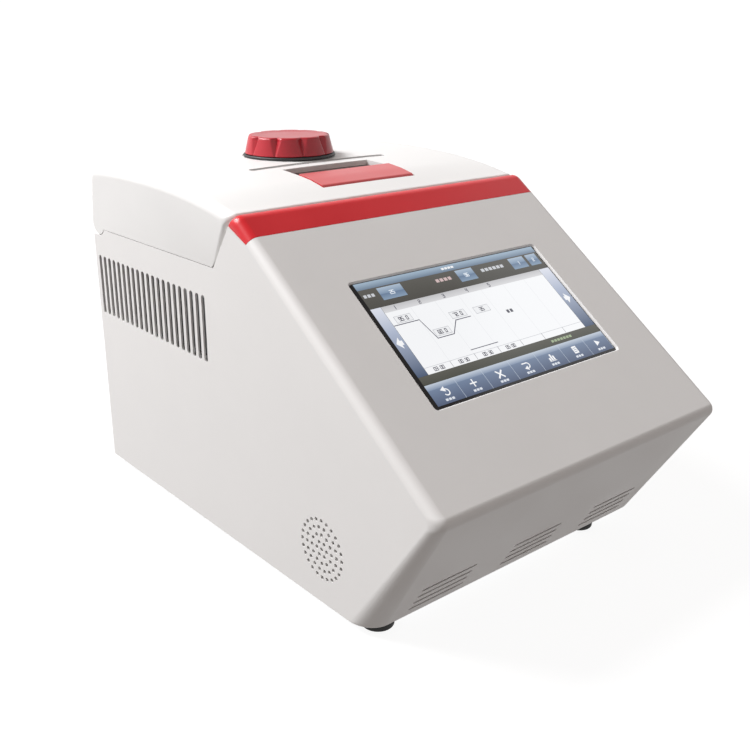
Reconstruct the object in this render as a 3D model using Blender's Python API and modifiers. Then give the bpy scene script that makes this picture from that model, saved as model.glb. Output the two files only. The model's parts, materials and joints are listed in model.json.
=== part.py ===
"""Bench-top thermal cycler: casing with a slanted touch screen, hinged lid with a heated plate that a
knob lowers onto a 96-well block, thermoelectric coolers, heat sink, fans and electronics.

Metres, +Z up, front towards -Y. The origin is on the bench, under the middle of the case."""

import math

import bmesh
import bpy
from mathutils import Matrix, Vector

# ---------------------------------------------------------------- driving dimensions
WIDTH = 0.250
FEET = 0.0065
WALL = 0.0035
CLEAR = 0.0003          # gap between pieces that touch

HALF = WIDTH / 2
REAR = 0.1855

# The case's side profile, as (y, z) corners.
NOSE = (-0.1892, 0.0980)
FRONT_FOOT = (-0.1328, FEET)
BEND = (-0.0114, 0.2278)
BROW_TOP = (-0.0083, 0.2280)
BROW_FOOT = (0.0163, 0.1919)
NOSE_RADIUS = 0.0055
BEND_RADIUS = 0.009
SLANT_EDGE = 0.0065      # rounding of the side edges along the slanted front
UNDER_EDGE = 0.0140      # at the foot of the undercut, from where it tapers up to the slant's

# The lid's top is a curve from front to back, and a little higher in the middle than at its sides.
LID_PEAK = 0.2394
LID_PEAK_Y = 0.120
LID_ARC = 0.51
LID_DROOP = 15          # makes the curve fall faster towards the front
LID_CROWN = 0.0028
CROWN_RUN = 0.035       # from the lid's front edge to where the crown is full
CROWN_FOOT = 0.222
CROWN_RISE = 0.008
LID_FOOT = 0.1924
LID_FRONT_GAP = 0.0014
LID_EDGE_RADIUS = 0.007

# The lid's hinge axis, inside a round heel at the back.
HEEL_RADIUS = 0.0089
HINGE = (REAR - HEEL_RADIUS, 0.1969)
HEEL_GAP = 0.0008
KNUCKLE_RADIUS = 0.0034
HINGE_PIN_RADIUS = 0.0015
HINGE_X = 0.080
HINGE_LENGTH = 0.031

# Red trim band over the bend.
BAND_LENGTH = 0.0172
BAND_THICKNESS = 0.0018

# Sample block and what is stacked under it.
BLOCK_Y = 0.107
BLOCK_SIZE = (0.116, 0.080)
BLOCK_TOP = 0.1865
BLOCK_FOOT = 0.1565
WELL_PITCH = 0.009
WELL_RADIUS = 0.0031
WELL_DEPTH = 0.0150
COOLER_HEIGHT = 0.0038
SINK_TOP = BLOCK_FOOT - COOLER_HEIGHT - 2 * CLEAR
SINK_BASE = 0.008
SINK_FOOT = 0.099
SINK_SIZE = (0.150, 0.092)
SINK_Y = 0.104
DECK_TOP = 0.1875
DECK_THICKNESS = 0.0025

# Heated lid plate, its screw and its guides.
PLATE_FOOT = 0.1970
KNOB_SEAT = 0.2416
KNOB_TOP = 0.2574
KNOB_FOOT_RADIUS = 0.0330
KNOB_TOP_RADIUS = 0.0289
SEAT_RADIUS = 0.0342
KNOB_LOBES = 10
GUIDE_X = 0.066
GUIDE_TOP = 0.2375
GUIDE_RADIUS = 0.0030
BUSH_TOP = 0.2377        # the flange of the screw bush, close under the lid

# Lid latch.
LATCH_PIN = (0.0165, 0.2317)
PADDLE_BARREL = 0.0030
PADDLE_BACK = 0.0405
PADDLE_HALF = 0.0400
PADDLE_GAP = 0.0007
PADDLE_PROUD = 0.0004
POCKET_BACK = 0.0585
POCKET_RIGHT = 0.0345
POCKET_FLOOR = 0.2235
POCKET_WALL = 0.0020
HOOK_PIN = (0.0280, 0.2005)
HOOK_HALF = 0.0045
HOOK_TIP = 0.0360

# Touch screen, measured down the slant from the bend.
SCREEN_MIDDLE = 0.11066
SCREEN_OPENING = (0.1625, 0.0945)

# Vents, loudspeaker and feet.
SLOT_COUNT = 21
SLOT_PITCH = 0.00738
SLOT_HALF = (0.0021, 0.0226)
SLOT_Z = 0.1491
SPEAKER = (-0.0902, 0.0424)
SPEAKER_HOLE = 0.00135
SPEAKER_PITCH = 0.0047
FOOT_PLACES = {
    "front_left": (-0.107, -0.120),
    "front_right": (0.078, -0.120),
    "rear_left": (-0.103, 0.165),
    "rear_right": (0.103, 0.165),
}

# Fans, power and data fittings on the rear panel.
FAN_SIZE = 0.080
FAN_DEPTH = 0.025
FAN_X = 0.0415
FAN_Z = 0.112
FAN_BORE = 0.0375
FAN_FRONT = 0.1575
PANEL_INSIDE = 0.1835
PANEL_THICKNESS = 0.0015
INLET = (-0.078, 0.036)
SWITCH = (-0.040, 0.036)
USB = (0.060, 0.030)

SIDE = Matrix(((0, 0, 1, 0), (1, 0, 0, 0), (0, 1, 0, 0), (0, 0, 0, 1)))     # outline (y, z), swept along X
FRONT = Matrix(((1, 0, 0, 0), (0, 0, -1, 0), (0, 1, 0, 0), (0, 0, 0, 1)))   # outline (x, z), swept along -Y
TOP = Matrix.Identity(4)                                                    # outline (x, y), swept along Z

FINISHES = {            # colour, roughness, metallic
    "white_plastic": ((0.80, 0.79, 0.78), 0.45, 0.0),
    "grey_plastic": ((0.42, 0.40, 0.40), 0.50, 0.0),
    "black_plastic": ((0.02, 0.02, 0.02), 0.45, 0.0),
    "red_plastic": ((0.50, 0.02, 0.03), 0.35, 0.0),
    "black_glass": ((0.01, 0.01, 0.012), 0.08, 0.0),
    "rubber": ((0.015, 0.015, 0.015), 0.85, 0.0),
    "silicone": ((0.10, 0.10, 0.11), 0.70, 0.0),
    "ceramic": ((0.85, 0.84, 0.80), 0.55, 0.0),
    "circuit_board": ((0.01, 0.12, 0.05), 0.50, 0.0),
    "aluminium": ((0.70, 0.71, 0.72), 0.35, 1.0),
    "silver": ((0.80, 0.80, 0.82), 0.30, 1.0),
    "steel": ((0.50, 0.50, 0.50), 0.35, 1.0),
    "zinc_sheet": ((0.62, 0.63, 0.64), 0.40, 1.0),
}


# ---------------------------------------------------------------- outlines
def lerp(a, b, t):
    return a + (b - a) * t


def arc(centre, radius, start, end, steps):
    """Points on an arc, angles in degrees."""
    points = []
    for i in range(steps + 1):
        angle = math.radians(lerp(start, end, i / steps))
        points.append((centre[0] + radius * math.cos(angle), centre[1] + radius * math.sin(angle)))
    return points


def circle(centre, radius, sides, start=0.0):
    return arc(centre, radius, start, start + 360 - 360 / sides, sides - 1)


def corner_arc(corners, i, step, steps=None):
    """The arc that replaces corner i, an (a, b, radius), and is tangent to both of its sides."""
    a, b, radius = corners[i]
    if radius <= 0:
        return [(a, b)]
    here = Vector((a, b))
    before = (Vector(corners[i - 1][:2]) - here).normalized()
    after = (Vector(corners[(i + 1) % len(corners)][:2]) - here).normalized()
    half_angle = before.angle(after) / 2
    centre = here + (before + after).normalized() * (radius / math.sin(half_angle))
    first = here + before * (radius / math.tan(half_angle)) - centre
    turn = math.pi - 2 * half_angle
    if before.x * after.y - before.y * after.x > 0:
        turn = -turn
    steps = steps or max(2, math.ceil(abs(math.degrees(turn)) / step - 0.001))
    return [tuple(centre + Matrix.Rotation(turn * k / steps, 2) @ first) for k in range(steps + 1)]


def rounded(corners, step=18):
    points = []
    for i in range(len(corners)):
        points += corner_arc(corners, i, step)
    return points


def rectangle(low, high, radius=0.0):
    corners = ((low[0], low[1]), (high[0], low[1]), (high[0], high[1]), (low[0], high[1]))
    return rounded([(a, b, radius) for a, b in corners], 45)


def stadium(centre, half_width, half_height, steps=2):
    """An upright slot with round ends."""
    upper = arc((centre[0], centre[1] + half_height - half_width), half_width, 0, 180, steps)
    lower = arc((centre[0], centre[1] - half_height + half_width), half_width, 180, 360, steps)
    return upper + lower


def inside_line(start, end, distance):
    """The line through two points, moved to its left by a distance."""
    along = (Vector(end) - Vector(start)).normalized()
    shift = Vector((-along.y, along.x)) * distance
    return Vector(start) + shift, along


def meet(first, second):
    """Where two lines, each a point and a direction, cross."""
    (p, u), (q, v) = first, second
    t = ((q - p).x * v.y - (q - p).y * v.x) / (u.x * v.y - u.y * v.x)
    return tuple(p + u * t)


def at_height(line, z):
    point, along = line
    return tuple(point + along * ((z - point.y) / along.y))


# ---------------------------------------------------------------- modelling tools
def empty_scene():
    for old in list(bpy.data.objects):
        bpy.data.objects.remove(old)


def new_collection(name):
    collection = bpy.data.collections.get(name) or bpy.data.collections.new(name)
    if name not in bpy.context.scene.collection.children:
        bpy.context.scene.collection.children.link(collection)
    return collection


def add_object(name, mesh):
    thing = bpy.data.objects.new(name, mesh)
    new_collection(PARTS).objects.link(thing)
    return thing


def edit(thing, change):
    """Runs a bmesh change on an object's own mesh."""
    shape = bmesh.new()
    shape.from_mesh(thing.data)
    change(shape)
    bmesh.ops.recalc_face_normals(shape, faces=shape.faces)
    shape.to_mesh(thing.data)
    shape.free()


def weld(shape):
    bmesh.ops.remove_doubles(shape, verts=shape.verts, dist=1e-6)
    bmesh.ops.dissolve_limit(shape, angle_limit=0.001, verts=shape.verts, edges=shape.edges)


def sweep(name, loops, low, high, turn):
    """A closed solid: flat outlines, holes included, swept from low to high."""
    curve = bpy.data.curves.new(name, "CURVE")
    curve.dimensions = "2D"
    curve.fill_mode = "BOTH"
    curve.extrude = (high - low) / 2
    for loop in loops:
        spline = curve.splines.new("POLY")
        spline.points.add(len(loop) - 1)
        for point, (a, b) in zip(spline.points, loop):
            point.co = (a, b, 0, 1)
        spline.use_cyclic_u = True
    flat = bpy.data.objects.new(name, curve)
    bpy.context.scene.collection.objects.link(flat)
    mesh = bpy.data.meshes.new_from_object(flat.evaluated_get(bpy.context.evaluated_depsgraph_get()))
    bpy.data.objects.remove(flat)
    mesh.transform(turn @ Matrix.Translation((0, 0, (low + high) / 2)))
    mesh.name = name
    thing = add_object(name, mesh)
    edit(thing, weld)
    return thing


def moved_inwards(corners, roundings, share):
    """The corners after the line that follows each has moved into the shape, by a share of its roundings."""
    lines = []
    for i, (start, end) in enumerate(roundings):
        first = Vector(corners[i][:2])
        last = Vector(corners[(i + 1) % len(corners)][:2])
        along = (last - first).normalized()
        inwards = Vector((along.y, -along.x)) * share
        first = first + inwards * start
        last = last + inwards * end
        lines.append((first, (last - first).normalized()))
    moved = []
    for i, (a, b, radius) in enumerate(corners):
        if roundings[i - 1][1] or roundings[i][0]:
            a, b = meet(lines[i - 1], lines[i])
        moved.append((a, b, radius))
    return moved


def rounding_at(before, after, share):
    """The rounding part of the way round a corner, between the roundings of the lines that meet in it."""
    if before > 0 and after > 0:
        return lerp(before, after, share)
    return max(before, after)


def rounded_prism(name, corners, roundings, half_width, steps=3, corner_step=18):
    """A closed solid with flat sides at -half_width and half_width, whose side edges are rounded.

    The corners run clockwise; roundings holds, for the line that follows each of them, the rounding of its
    side edge at the line's start and end."""
    counts = [len(corner_arc(corners, i, corner_step)) - 1 for i in range(len(corners))]
    rings = []
    for k in range(steps + 1):
        angle = math.pi / 2 * k / steps
        moved = moved_inwards(corners, roundings, 1 - math.sin(angle))
        ring = []
        for i in range(len(corners)):
            for n, (y, z) in enumerate(corner_arc(moved, i, corner_step, counts[i])):
                edge = rounding_at(roundings[i - 1][1], roundings[i][0], n / max(1, counts[i]))
                ring.append((half_width - edge * (1 - math.cos(angle)), y, z))
        rings.append(ring)
    rings += [[(-x, y, z) for x, y, z in ring] for ring in reversed(rings)]
    shape = bmesh.new()
    loops = [[shape.verts.new(point) for point in ring] for ring in rings]
    strips = []
    for first, second in zip(loops, loops[1:]):
        for i in range(len(first)):
            strips.append(shape.faces.new((first[i - 1], first[i], second[i], second[i - 1])))
    bmesh.ops.triangulate(shape, faces=strips)
    shape.faces.new(loops[0])
    shape.faces.new(loops[-1])
    mesh = bpy.data.meshes.new(name)
    shape.to_mesh(mesh)
    shape.free()
    thing = add_object(name, mesh)
    edit(thing, weld)
    return thing


def box(name, low, high):
    shape = bmesh.new()
    bmesh.ops.create_cube(shape, size=1.0)
    size = Vector(high) - Vector(low)
    middle = (Vector(high) + Vector(low)) / 2
    bmesh.ops.scale(shape, vec=size, verts=shape.verts)
    bmesh.ops.translate(shape, vec=middle, verts=shape.verts)
    mesh = bpy.data.meshes.new(name)
    shape.to_mesh(mesh)
    shape.free()
    return add_object(name, mesh)


def cylinder(name, start, end, radius, sides=16, end_radius=None):
    shape = bmesh.new()
    start = Vector(start)
    end = Vector(end)
    bmesh.ops.create_cone(shape, cap_ends=True, segments=sides, radius1=radius,
                          radius2=radius if end_radius is None else end_radius,
                          depth=(end - start).length)
    aim = (end - start).to_track_quat("Z", "Y").to_matrix().to_4x4()
    bmesh.ops.transform(shape, matrix=Matrix.Translation((start + end) / 2) @ aim, verts=shape.verts)
    mesh = bpy.data.meshes.new(name)
    shape.to_mesh(mesh)
    shape.free()
    return add_object(name, mesh)


def turned(name, profile, place, steps=24, ring=False):
    """A profile of (radius, height), down its outer side, turned about the vertical through place."""
    mesh = bpy.data.meshes.new(name)
    count = len(profile)
    edges = [(i, i + 1) for i in range(count - 1)]
    if ring:
        edges.append((count - 1, 0))
    mesh.from_pydata([(radius, 0, height) for radius, height in profile], edges, [])
    thing = add_object(name, mesh)
    thing.location = place
    screw = thing.modifiers.new("turn", "SCREW")
    screw.steps = steps
    screw.render_steps = steps
    screw.use_merge_vertices = True
    screw.merge_threshold = 0.00001
    return thing


def hide_as_cutter(tool):
    for collection in list(tool.users_collection):
        collection.objects.unlink(tool)
    new_collection(CUTTERS).objects.link(tool)
    tool.hide_render = True
    tool.display_type = "WIRE"


def combine(thing, tools, operation):
    for tool in tools:
        hide_as_cutter(tool)
        modifier = thing.modifiers.new(tool.name, "BOOLEAN")
        modifier.operation = operation
        modifier.object = tool
    return thing


def cut(thing, *tools):
    return combine(thing, tools, "DIFFERENCE")


def join(thing, *tools):
    return combine(thing, tools, "UNION")


def keep_common(thing, *tools):
    return combine(thing, tools, "INTERSECT")


def round_side_edges(thing, half_width, radius, wanted, segments=3):
    """Rounds the edges where the flat sides meet the swept surface, where wanted(y, z) says so."""

    def change(shape):
        edges = []
        for edge in shape.edges:
            ends = [vertex.co for vertex in edge.verts]
            if all(abs(abs(end.x) - half_width) < 1e-5 for end in ends):
                middle = (ends[0] + ends[1]) / 2
                if ends[0].x * ends[1].x > 0 and wanted(middle.y, middle.z):
                    edges.append(edge)
        bmesh.ops.bevel(shape, geom=edges, offset=radius, segments=segments, profile=0.5,
                        affect="EDGES", clamp_overlap=True)

    edit(thing, change)
    return thing


def paint(thing, look):
    colour, roughness, metallic = FINISHES[look]
    material = bpy.data.materials.new(thing.name + "_" + look)
    material.use_nodes = True
    shader = material.node_tree.nodes["Principled BSDF"]
    shader.inputs["Base Color"].default_value = (*colour, 1.0)
    shader.inputs["Roughness"].default_value = roughness
    shader.inputs["Metallic"].default_value = metallic
    thing.data.materials.clear()
    thing.data.materials.append(material)


def finish(thing, look, pivot=None, parent=None):
    """Gives a part its material, smooth round faces and an origin on its own axis."""
    paint(thing, look)
    if pivot is not None:
        shift = Vector(pivot) - thing.location
        thing.data.transform(Matrix.Translation(-shift))
        thing.location = pivot
    if parent is not None:
        thing.location = thing.location - parent.location
        thing.parent = parent
    thing.data.shade_smooth()
    thing.data.set_sharp_from_angle(angle=math.radians(30))
    return thing


def frame_empty(name, place, tilt=0.0):
    """An empty whose X runs across the machine, turned about X by tilt."""
    empty = bpy.data.objects.new(name, None)
    empty.location = place
    empty.rotation_euler = (tilt, 0, 0)
    empty.empty_display_size = 0.02
    new_collection(PARTS).objects.link(empty)
    return empty


def put_on(thing, empty):
    """Parents an object that was modelled in the empty's own frame."""
    thing.parent = empty
    return thing


# ---------------------------------------------------------------- the case's outer forms
def lid_top(y):
    run = y - LID_PEAK_Y
    return LID_PEAK - LID_ARC * run ** 2 - LID_DROOP * run ** 4


def lid_front_line(gap=LID_FRONT_GAP):
    """The lid's front face, which leans back along the brow of the case."""
    top, along = inside_line(BROW_FOOT, BROW_TOP, 0)
    return top + Vector((gap, 0)), along


def crown(thing, drop=0.0):
    """Raises the middle of a lid-shaped solid: its top is highest along the centre line."""

    def change(shape):
        for x in (-0.095, -0.060, -0.020, 0.020, 0.060, 0.095):
            everything = shape.verts[:] + shape.edges[:] + shape.faces[:]
            bmesh.ops.bisect_plane(shape, geom=everything, plane_co=(x, 0, 0), plane_no=(1, 0, 0))
        for vertex in shape.verts:
            height = (vertex.co.z - CROWN_FOOT + drop) / CROWN_RISE
            along = (vertex.co.y - BROW_TOP[0]) / CROWN_RUN
            lift = LID_CROWN * (1 - (vertex.co.x / HALF) ** 2)
            vertex.co.z += lift * min(max(height, 0), 1) * min(max(along, 0), 1)
        bmesh.ops.triangulate(shape, faces=shape.faces)

    edit(thing, change)
    return thing


def case_corners():
    """The outside of the case as corners (y, z, radius), from the rear foot forward and over the top."""
    heel = arc(HINGE, HEEL_RADIUS + HEEL_GAP, 210.97, 270, 5)
    corners = [(REAR, FEET, 0), (*FRONT_FOOT, 0.003), (*NOSE, NOSE_RADIUS), (*BEND, BEND_RADIUS),
               (*BROW_TOP, 0), (*BROW_FOOT, 0)]
    corners += [(y, z, 0) for y, z in heel]
    corners.append((REAR, heel[-1][1], 0))
    return corners


def under_rounding(z):
    return lerp(UNDER_EDGE, SLANT_EDGE, (z - FEET) / (NOSE[1] - FEET))


def side_roundings(corners, first, depth=0.0, flat=False):
    """The roundings along the undercut, whose line follows corner number first, the slant, and the flat top."""
    roundings = [(0.0, 0.0)] * len(corners)
    start, end = corners[first][1], corners[first + 1][1]
    roundings[first] = (under_rounding(start) - depth, under_rounding(end) - depth)
    slant = (SLANT_EDGE - depth, SLANT_EDGE - depth)
    roundings[first + 1] = slant
    if flat:
        roundings[first + 2] = slant
    return roundings


def case_solid(name):
    corners = case_corners()
    return rounded_prism(name, corners, side_roundings(corners, 1, flat=True), HALF)


def case_hollow(name, depth):
    """The inside of the case, a wall's depth in, open below, behind and above the deck."""
    under = inside_line(NOSE, FRONT_FOOT, depth)
    slant = inside_line(BEND, NOSE, depth)
    brow = inside_line(BROW_FOOT, BROW_TOP, depth)
    below = FEET - 0.020
    above = LID_FOOT + 0.020
    beyond = REAR + 0.010
    ledge = BROW_FOOT[1] - 0.0039
    behind_brow = BROW_FOOT[0] + 0.001
    corners = [(beyond, below, 0), (*at_height(under, below), 0), (*meet(under, slant), NOSE_RADIUS - depth),
               (*meet(slant, brow), 0), (*at_height(brow, ledge), 0), (behind_brow, ledge, 0),
               (behind_brow, above, 0), (beyond, above, 0)]
    return rounded_prism(name, corners, side_roundings(corners, 1, depth), HALF - depth)


def band_region(name, spare):
    """The stretch of the case's surface that the trim band takes, grown by spare."""
    slant = (Vector(NOSE) - Vector(BEND)).normalized()
    inward = Vector((slant.y, -slant.x))
    if inward.y > 0:
        inward = -inward
    low_edge = Vector(BEND) + slant * (BAND_LENGTH + spare)
    brow, brow_along = inside_line(BROW_FOOT, BROW_TOP, 0)
    top = brow + brow_along * ((BROW_TOP[1] + 0.006 - brow.y) / brow_along.y)
    bottom = brow + brow_along * ((BROW_TOP[1] - 0.0065 - spare - brow.y) / brow_along.y)
    behind = Vector((0.0004 if spare else 0.0, 0))
    corners = [tuple(low_edge - inward * 0.006), tuple(low_edge + inward * (0.0055 + spare)),
               tuple(bottom + behind), tuple(top + behind)]
    reach = HALF + 0.005
    return sweep(name, [corners], -reach, reach, SIDE)


def band_core(name, depth):
    """What lies under the band: the case's own form, a depth further in."""
    under = inside_line(NOSE, FRONT_FOOT, depth)
    slant = inside_line(BEND, NOSE, depth)
    flat = inside_line(BROW_TOP, BEND, depth)
    back = 0.030
    top = flat[0].y + flat[1].y / flat[1].x * (back - flat[0].x)
    corners = [(back, FEET, 0), (*at_height(under, FEET), 0), (*meet(under, slant), NOSE_RADIUS - depth),
               (*meet(slant, flat), BEND_RADIUS - depth), (back, top, 0)]
    return rounded_prism(name, corners, side_roundings(corners, 1, depth, flat=True), HALF - depth)


# ---------------------------------------------------------------- case parts
def slant_frame(down, name):
    """An empty on the slanted front, X across, Y up the slant, Z out of it."""
    up = (Vector(BEND) - Vector(NOSE)).normalized()
    place = Vector(BEND) - up * down
    return frame_empty(name, (0, place.x, place.y), math.atan2(up.y, up.x))


def under_frame(name):
    """An empty at the foot of the undercut, X across, Y up it, Z out of it."""
    up = (Vector(NOSE) - Vector(FRONT_FOOT)).normalized()
    return frame_empty(name, (0, *FRONT_FOOT), math.atan2(up.y, up.x))


def side_slots():
    """Upright vent slots, cut through both side walls."""
    first = REAR - 0.0070
    return [stadium((first - SLOT_PITCH * i, SLOT_Z), *SLOT_HALF) for i in range(SLOT_COUNT)]


def ring_holes(centre, pitch, radius):
    """Round holes in rings of 1, 6, 12, 18 and 24."""
    holes = [circle(centre, radius, 6)]
    for ring in range(1, 5):
        count = 6 * ring
        for i in range(count):
            angle = 2 * math.pi * i / count
            place = (centre[0] + ring * pitch * math.cos(angle), centre[1] + ring * pitch * math.sin(angle))
            holes.append(circle(place, radius, 6))
    return holes


def under_slots():
    """Three groups of four flat slots near the foot of the undercut."""
    slots = []
    for group in (-1, 0, 1):
        for row in range(4):
            low = (group * 0.077 - 0.022, 0.0088 + 0.0070 * row)
            slots.append(rectangle(low, (low[0] + 0.044, low[1] + 0.0024)))
    return slots


def make_case():
    shell = case_solid("body_shell")
    hollow = case_hollow("body_hollow", WALL)
    rebate = band_region("band_rebate", CLEAR)
    cut(rebate, band_core("band_rebate_core", BAND_THICKNESS + CLEAR))
    opening = sweep("screen_opening", [rectangle((-SCREEN_OPENING[0] / 2, -SCREEN_OPENING[1] / 2),
                                                 (SCREEN_OPENING[0] / 2, SCREEN_OPENING[1] / 2), 0.002)],
                    -0.02, 0.02, TOP)
    put_on(opening, slant_frame(SCREEN_MIDDLE, "screen_opening_frame"))
    vents = sweep("side_slots", side_slots(), -HALF - 0.01, HALF + 0.01, SIDE)
    speaker_holes = sweep("speaker_holes", ring_holes(SPEAKER, SPEAKER_PITCH, SPEAKER_HOLE),
                          -HALF - 0.01, -HALF + 0.01, SIDE)
    intake = sweep("intake_slots", under_slots(), -0.01, 0.01, TOP)
    put_on(intake, under_frame("intake_frame"))
    cut(shell, hollow, rebate, opening, vents, speaker_holes, intake)
    finish(shell, "white_plastic")

    band = case_solid("red_band")
    keep_common(band, band_region("band_region", 0))
    cut(band, band_core("band_core", BAND_THICKNESS))
    finish(band, "red_plastic")


def make_base():
    under = inside_line(NOSE, FRONT_FOOT, WALL + CLEAR)
    side = HALF - WALL - CLEAR
    front = at_height(under, FEET + 0.002)[0] + 0.001
    back = REAR - 0.0005
    corner = UNDER_EDGE - 0.001
    outline = rounded([(-side, front, corner), (side, front, corner), (side, back, 0), (-side, back, 0)])
    plate = sweep("base_plate", [outline], FEET, FEET + 0.002, TOP)
    vents = [rectangle((x - 0.002, -0.060), (x + 0.002, -0.015)) for x in (0.02, 0.035, 0.05, 0.065, 0.08)]
    cut(plate, sweep("base_vents", vents, 0, 0.03, TOP))
    for x, y in FOOT_PLACES.values():
        cut(plate, cylinder("foot_hole", (x, y, 0), (x, y, 0.02), 0.0033, 12))
    finish(plate, "zinc_sheet")


def make_feet():
    """Rubber push-in feet: a tapered pad with a plug that snaps through the base plate."""
    top = FEET - CLEAR
    pad = [(0, top + 0.0075), (0.0030, top + 0.0075), (0.0030, top), (0.0105, top), (0.0105, 0.0035),
           (0.0090, 0), (0, 0)]
    for corner, (x, y) in FOOT_PLACES.items():
        finish(turned(f"foot_{corner}", pad, (x, y, 0), 16), "rubber")


def fan_grille(centre):
    """Upright slots that fill a circle in front of a fan."""
    slots = []
    for i in range(-4, 5):
        offset = i * 0.0078
        reach = math.sqrt(0.036 ** 2 - offset ** 2)
        slots.append(rectangle((centre[0] + offset - 0.0022, centre[1] - reach),
                               (centre[0] + offset + 0.0022, centre[1] + reach)))
    return slots


def make_rear_panel():
    side = HALF - WALL - CLEAR
    low = (-side, FEET + 0.0024)
    high = (side, HINGE[1] - HEEL_RADIUS - HEEL_GAP)
    loops = [rectangle(low, high)]
    loops += fan_grille((-FAN_X, FAN_Z))
    loops += fan_grille((FAN_X, FAN_Z))
    loops.append(rectangle((INLET[0] - 0.0142, INLET[1] - 0.0102), (INLET[0] + 0.0142, INLET[1] + 0.0102)))
    loops.append(rectangle((SWITCH[0] - 0.0069, SWITCH[1] - 0.0099), (SWITCH[0] + 0.0069, SWITCH[1] + 0.0099)))
    loops.append(rectangle((USB[0] - 0.0064, USB[1] - 0.0060), (USB[0] + 0.0064, USB[1] + 0.0060)))
    panel = sweep("rear_panel", loops, -PANEL_INSIDE - PANEL_THICKNESS, -PANEL_INSIDE, FRONT)
    finish(panel, "zinc_sheet")


def make_deck():
    """The deck around the sample block, with its latch slot, and the steel strike plate under it."""
    side = HALF - WALL - CLEAR
    low = (-side, 0.0060)
    high = (side, 0.1745)
    hole = rectangle((-0.0615, BLOCK_Y - 0.0435), (0.0615, BLOCK_Y + 0.0435), 0.003)
    slot = rectangle((-0.0085, 0.0180), (0.0085, 0.0400))
    deck = sweep("deck_panel", [rectangle(low, high), hole, slot], DECK_TOP - DECK_THICKNESS, DECK_TOP, TOP)
    finish(deck, "grey_plastic")
    under = DECK_TOP - DECK_THICKNESS - CLEAR
    strike_slot = rectangle((-0.0065, 0.0180), (0.0065, HOOK_TIP + 0.0010))
    strike = sweep("strike_plate", [rectangle((-0.020, 0.0085), (0.020, 0.0560), 0.003), strike_slot],
                   under - 0.0015, under, TOP)
    finish(strike, "steel")


# ---------------------------------------------------------------- screen
def make_screen():
    frame = slant_frame(SCREEN_MIDDLE, "screen_frame")
    glass_half = (SCREEN_OPENING[0] / 2 + 0.0040, SCREEN_OPENING[1] / 2 + 0.0040)
    back = -WALL - CLEAR
    edge = [(-glass_half[0] - 0.006, -glass_half[1] - 0.006), (glass_half[0] + 0.006, glass_half[1] + 0.006)]
    ring = [rectangle(edge[0], edge[1], 0.003),
            rectangle((-glass_half[0] - CLEAR, -glass_half[1] - CLEAR), (glass_half[0] + CLEAR, glass_half[1] + CLEAR))]
    bezel = sweep("screen_bezel", ring, back - 0.0100, back, TOP)
    glass = sweep("touch_glass", [rectangle((-glass_half[0], -glass_half[1]), glass_half)],
                  back - 0.0018, back, TOP)
    module = sweep("lcd_module", [rectangle((-0.0825, -0.0500), (0.0825, 0.0500))],
                   back - 0.0070, back - 0.0018 - CLEAR, TOP)
    board = sweep("display_board", [rectangle((-0.0860, -0.0530), (0.0860, 0.0530), 0.002)],
                  back - 0.0120, back - 0.0104, TOP)
    chips = [sweep(f"display_chip_{i}", [rectangle((x, y), (x + w, y + h))], back - 0.0145, back - 0.0118, TOP)
             for i, (x, y, w, h) in enumerate(((-0.050, -0.010, 0.022, 0.022), (0.005, -0.005, 0.014, 0.010),
                                               (0.040, -0.030, 0.012, 0.040), (-0.020, 0.030, 0.040, 0.008)))]
    join(board, *chips)
    for thing, look in ((bezel, "black_plastic"), (glass, "black_glass"), (module, "zinc_sheet"),
                        (board, "circuit_board")):
        finish(thing, look)
        put_on(thing, frame)
    for chip in chips:
        put_on(chip, frame)


# ---------------------------------------------------------------- block, coolers and heat sink
def make_sample_block():
    half_x = BLOCK_SIZE[0] / 2
    half_y = BLOCK_SIZE[1] / 2
    block = sweep("sample_block", [rectangle((-half_x, BLOCK_Y - half_y), (half_x, BLOCK_Y + half_y), 0.004)],
                  BLOCK_FOOT, BLOCK_TOP, TOP)
    wells = bmesh.new()
    for column in range(12):
        for row in range(8):
            place = Vector(((column - 5.5) * WELL_PITCH, BLOCK_Y + (row - 3.5) * WELL_PITCH,
                            BLOCK_TOP - WELL_DEPTH / 2 + 0.0005))
            bmesh.ops.create_cone(wells, cap_ends=True, segments=6, radius1=0.0013, radius2=WELL_RADIUS,
                                  depth=WELL_DEPTH + 0.001, matrix=Matrix.Translation(place))
    mesh = bpy.data.meshes.new("well_cutter")
    wells.to_mesh(mesh)
    wells.free()
    cut(block, add_object("well_cutter", mesh))
    finish(block, "silver")


def make_block_frame():
    """The insulating frame that holds the block down on the coolers, and the soft seal around its top."""
    low = SINK_TOP + CLEAR
    high = DECK_TOP - DECK_THICKNESS - CLEAR
    inner = rectangle((-0.0590, BLOCK_Y - 0.0405), (0.0590, BLOCK_Y + 0.0405))
    outer = rectangle((-0.0730, BLOCK_Y - 0.0455), (0.0730, BLOCK_Y + 0.0455), 0.003)
    frame = sweep("block_frame", [outer, inner], low, high, TOP)
    finish(frame, "black_plastic")
    seal_outer = rectangle((-0.0611, BLOCK_Y - 0.0431), (0.0611, BLOCK_Y + 0.0431), 0.003)
    seal_inner = rectangle((-0.0584, BLOCK_Y - 0.0404), (0.0584, BLOCK_Y + 0.0404), 0.004)
    seal = sweep("block_seal", [seal_outer, seal_inner], high + CLEAR, DECK_TOP + 0.0008, TOP)
    finish(seal, "silicone")


def make_coolers():
    """Four thermoelectric modules side by side under the block."""
    low = SINK_TOP + CLEAR
    number = 1
    for y in (-1, 1):
        for x in (-1, 1):
            middle = (x * 0.0285, BLOCK_Y + y * 0.0195)
            module = sweep(f"peltier_module_{number}",
                           [rectangle((middle[0] - 0.026, middle[1] - 0.018), (middle[0] + 0.026, middle[1] + 0.018))],
                           low, low + COOLER_HEIGHT, TOP)
            finish(module, "ceramic")
            number += 1


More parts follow.
